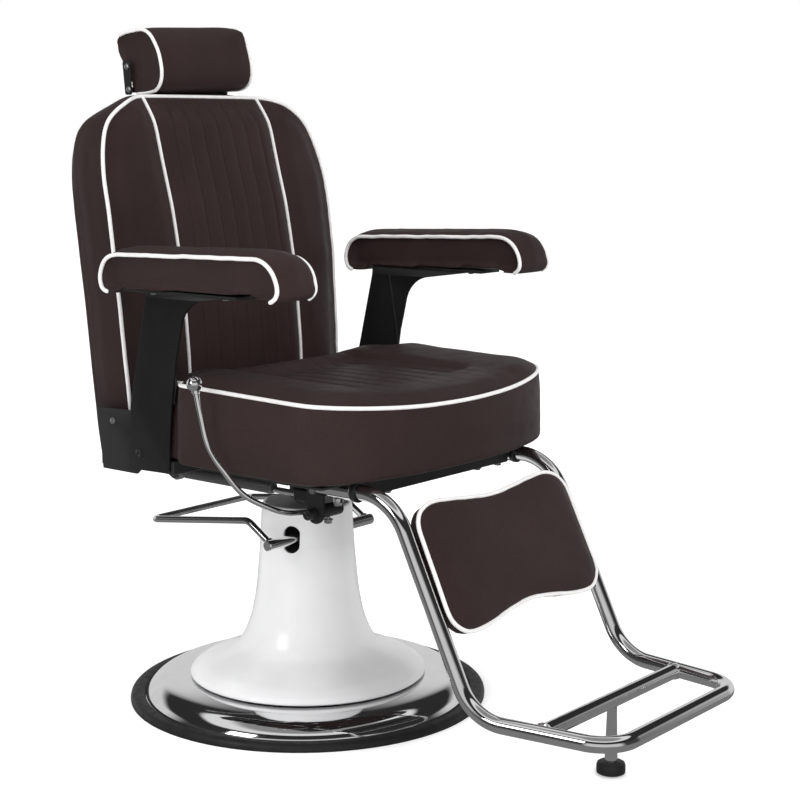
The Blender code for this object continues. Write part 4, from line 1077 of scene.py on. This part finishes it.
def make_arm_pad(side, name):
    outline = arm_pad_outline(0.1375 if side > 0 else 0.1265)
    pivot = Vector((0, -0.035, 0.75))
    tilt = moved(pivot) @ Matrix.Rotation(-ARM_TILT[side], 4, "X") @ moved(-pivot)
    middle = (-0.067, 0.758)
    xs = (-0.03, -0.04, -0.0445, -0.046, -0.046, -0.03, 0.0, 0.03, 0.046, 0.046, 0.0445, 0.04, 0.03)
    shrink = (0.7, 0.93, 0.985, 0.998, 1.0, 1.0, 1.0, 1.0, 1.0, 0.998, 0.985, 0.93, 0.7)
    rings = []
    for x, k in zip(xs, shrink):
        lift = 0.01 * (1 - (abs(x) / 0.046) ** 2)
        ring = []
        for y, z in outline:
            py, pz = middle[0] + (y - middle[0]) * (1 - (1 - k) * 0.28), middle[1] + (z - middle[1]) * k
            up = float(smooth((z - 0.748) / 0.03))
            ring.append((side * ARM_X + x, py - lift * 0.5 * (1 if y < -0.23 else 0), pz + lift * up))
        rings.append(ring)
    bm = skin(bmesh.new(), rings)
    bm.transform(tilt)
    run = [p for p in outline if not (p[1] < 0.7345 and -0.245 < p[0] < 0.105)]
    pipes = [[tilt @ Vector((side * ARM_X + x, y, z)) for y, z in run] for x in (-0.0458, 0.0458)]

    def keep(co):
        return 0.15 + 0.85 * smooth((co[:, 2] - 0.733) / 0.012)

    pad = upholstered(f"arm_pad_{name}", bm, 0.0038, 0.0045, pipes, "seat", f"armrest_pad_{name}", 0.02,
                      0.0012, keep)
    for tag, pipe in zip("ab", pipes):
        piped(f"arm_piping_{name}_{tag}", pad, pipe, False, "seat")


# headrest
HEAD_ROLL = math.radians(2.3)        # the pad sits a little higher at the sitter's left


def head_outline():
    """(y, z) of the headrest's end: from the lower rear round the face, then from the top down the back."""
    front = spline(mm((296, 1039.2), (278, 1039.6), (259, 1040.6), (243, 1044), (232, 1053), (226.2, 1066),
                      (225, 1080), (227.8, 1096), (234, 1117), (244.5, 1135), (256, 1145.5), (268, 1150),
                      (290, 1149.2), (312, 1146.8), (327.5, 1142.5)), 6)
    back = spline(mm((327.5, 1142.5), (336, 1136.5), (339, 1126), (337, 1113), (331, 1101), (320, 1084),
                     (308, 1062), (300, 1044)), 5)[1:]
    return [tuple(p) for p in front], [tuple(p) for p in back]


def make_headrest():
    front, back = head_outline()
    outline = front + back
    middle = (0.278, 1.095)
    half = 0.1115
    rings = []
    for x, k in ([(-half + 0.006, 0.72), (-half + 0.002, 0.9), (-half, 0.985)]
                 + [(x, 1.0) for x in np.linspace(-half + 0.0015, half - 0.0015, 23)]
                 + [(half, 0.985), (half - 0.002, 0.9), (half - 0.006, 0.72)]):
        lift = 0.0012 * (1 - min(1, abs(x) / half) ** 4)
        ring = []
        for y, z in outline:
            up = float(smooth((z - 1.1) / 0.045)) * lift
            corner = math.exp(-((y - 0.247) ** 2 + (z - 1.138) ** 2) / 0.016 ** 2)
            corner *= float(smooth((x - 0.02) / 0.08))
            out = float(smooth((0.262 - y) / 0.03)) * lift * 0.5
            ring.append((x, middle[0] + (y - middle[0]) * k - out - corner * 0.0045,
                         middle[1] + (z - middle[1]) * k + up + corner * 0.0035))
        rings.append(ring)
    turn = moved((0, 0, 0.0035 + 1.095)) @ Matrix.Rotation(-HEAD_ROLL, 4, "Y")
    turn = turn @ moved((0, 0, -1.095))
    bm = skin(bmesh.new(), rings)
    bm.transform(turn)
    pipes = [[turn @ Vector((x, y, z)) for y, z in front[2:]] for x in (-half + 0.0008, half - 0.0008)]
    rear = [[turn @ Vector((x, y, z)) for y, z in back] for x in (-half + 0.001, half - 0.001)]

    def keep(co):
        ends = smooth((half - 0.01 - np.abs(co[:, 0])) / 0.02)
        return (0.35 + 0.65 * ends) * (1 - 0.7 * smooth((co[:, 1] - 0.3) / 0.02))

    pad = upholstered("head_pad", bm, 0.0032, 0.0022, pipes + rear, "headrest", "headrest_pad", 0.022,
                      0.001, keep)
    for tag, pipe in zip(("right", "left"), pipes):
        piped(f"head_piping_{tag}", pad, pipe, False, "headrest", 0.003)


# legrest pad
def leg_outline(steps=16):
    """(x, along) round the pad: both ends hollowed, round corners."""
    def end(hollow, edge, reach, half, depth, power):
        """One end from the middle outwards, as (x, along) for x > 0."""
        line = []
        for i in range(steps):
            t = i / steps
            line.append((reach * t, hollow + (edge - hollow) * (1 - math.cos(math.pi * t)) / 2))
        for i in range(steps + 1):
            t = math.sin(math.pi / 2 * i / steps)
            line.append((reach + (half - reach) * t, edge + depth * (1 - (1 - t ** power) ** (1 / power))))
        return line

    top = end(0.0335, 0.022, 0.145, 0.1995, 0.046, 2.3)
    bottom = end(0.2125, 0.2305, 0.155, 0.202, -0.044, 2.0)
    right = top + [(0.1995 + 0.0025 * t, 0.068 + 0.1185 * t) for t in (0.25, 0.5, 0.75)] + bottom[::-1]
    return right + [(-x, along) for x, along in right[::-1] if x > 1e-6]


def make_legrest_pad():
    outline = leg_outline()
    middle = 0.127
    rings = []

    def ring(k, out, waist=1.0):
        return [on_slope(x * k * waist, middle + (s - middle) * k, out) for x, s in outline]

    for k, out in ((0.88, -0.008), (0.955, -0.008), (0.972, -0.0068), (0.98, -0.0035), (0.985, 0.003),
                   (0.985, 0.0095)):
        rings.append(ring(k, out, 0.986))
    rings.append(ring(0.996, 0.015))
    rings.append(ring(1.0, 0.019))
    for k in np.linspace(0.985, 0.04, 20):
        rings.append(ring(k, 0.0195 + 0.006 * (1 - k ** 4)))
    bm = skin(bmesh.new(), rings)
    pipe = [on_slope(x, s, 0.0195) for x, s in outline]

    def keep(co):
        out = (co - np.array(on_slope(0, 0, 0))) @ np.array(OUTWARD)
        return smooth((out + 0.006) / 0.012)

    pad = upholstered("leg_pad", bm, 0.0042, 0.005, [pipe + pipe[:1]], "legrest", "legrest_pad", 0.024,
                      0.0012, keep)
    piped("leg_piping", pad, pipe, True, "legrest", 0.0034)


# ---- stage
DARK_WALL = 0.025               # how much light the darkest part of the reflected room gives


def area_light(name, place, aim_z, size, power):
    data = bpy.data.lights.new(name, "AREA")
    data.shape = "RECTANGLE"
    data.size = data.size_y = size
    data.energy = power
    light = linked(name, data)
    light.location = place
    light.rotation_euler = (Vector((0, 0, aim_z)) - Vector(place)).to_track_quat("-Z", "Y").to_euler()
    return light


def studio_walls(tree):
    """White all round, but glossy surfaces see a dark room with a pale screen behind and a soft light above."""
    def combined(operation, a, b):
        return new_node(tree, "ShaderNodeMath", {0: a, 1: b}, operation=operation, use_clamp=True).outputs[0]

    def band(source, start, end, low, high):
        return new_node(tree, "ShaderNodeMapRange", {"From Min": start, "From Max": end, "To Min": low,
                                                     "To Max": high, "Value": source},
                        interpolation_type="SMOOTHSTEP").outputs["Result"]

    back = tree.nodes["Background"]
    back.inputs["Color"].default_value = (1, 1, 1, 1)
    direction = new_node(tree, "ShaderNodeTexCoord").outputs["Generated"]
    height = new_node(tree, "ShaderNodeSeparateXYZ", {0: direction}).outputs["Z"]
    across = new_node(tree, "ShaderNodeVectorMath", {0: direction, 1: (-0.74, -0.67, 0.0)},
                      operation="DOT_PRODUCT").outputs["Value"]
    sides = combined("MAXIMUM", band(across, -0.05, -0.5, 0.05, 0.66), band(across, 0.5, 0.8, 0.0, 0.6))
    screen = combined("MULTIPLY", sides, band(height, 0.34, 0.48, 1.0, 0.0))
    ground = band(height, -0.02, -0.3, 0.0, 0.2)
    ceiling = combined("MULTIPLY", band(height, 0.72, 0.77, 0.0, 0.75), band(height, 0.86, 0.92, 1.0, 0.35))
    above = band(height, -0.28, -0.16, 0.0, 1.0)
    room = combined("MAXIMUM", combined("MULTIPLY", screen, above), combined("MAXIMUM", ground, ceiling))
    room = combined("MAXIMUM", room, DARK_WALL)
    glossy = new_node(tree, "ShaderNodeLightPath").outputs["Is Glossy Ray"]
    tree.links.new(combined("MAXIMUM", room, combined("SUBTRACT", 1.0, glossy)), back.inputs["Strength"])


def make_stage():
    bm = bmesh.new()
    bmesh.ops.create_grid(bm, x_segments=1, y_segments=1, size=30)
    floor = make_object("floor", bm, FLOOR)
    floor.visible_glossy = False
    world = bpy.data.worlds.new("studio")
    bpy.context.scene.world = world
    world.use_nodes = True
    studio_walls(world.node_tree)
    bpy.context.scene.view_settings.view_transform = "Standard"
    area_light("key", (-1.2, -3.0, 3.0), 0.5, 1.5, 60).visible_glossy = False
    area_light("fill", (-3.4, 0.4, 1.9), 0.6, 1.2, 22)
    area_light("rim", (2.4, 2.2, 2.6), 0.6, 1.5, 24).visible_glossy = False
    camera = bpy.data.cameras.new("camera")
    camera.lens = 78.0
    camera.sensor_width = 36.0
    eye = linked("camera", camera)
    eye.location = (-2.1767, -1.9889, 0.9869)
    eye.rotation_euler = (math.radians(90 - 9.024), 0, math.radians(-50.722))
    bpy.context.scene.camera = eye


def main():
    make_base()
    make_pedestal()
    make_pump()
    make_seat_structure()
    make_gas_spring()
    make_recline_control()
    make_back_hardware()
    make_headrest_frame()
    make_legrest_metal()
    for side, name in SIDES:
        make_arm_bracket(side, name)
        make_arm_pad(side, name)
    make_seat()
    make_backrest()
    make_headrest()
    make_legrest_pad()
    make_stage()


main()
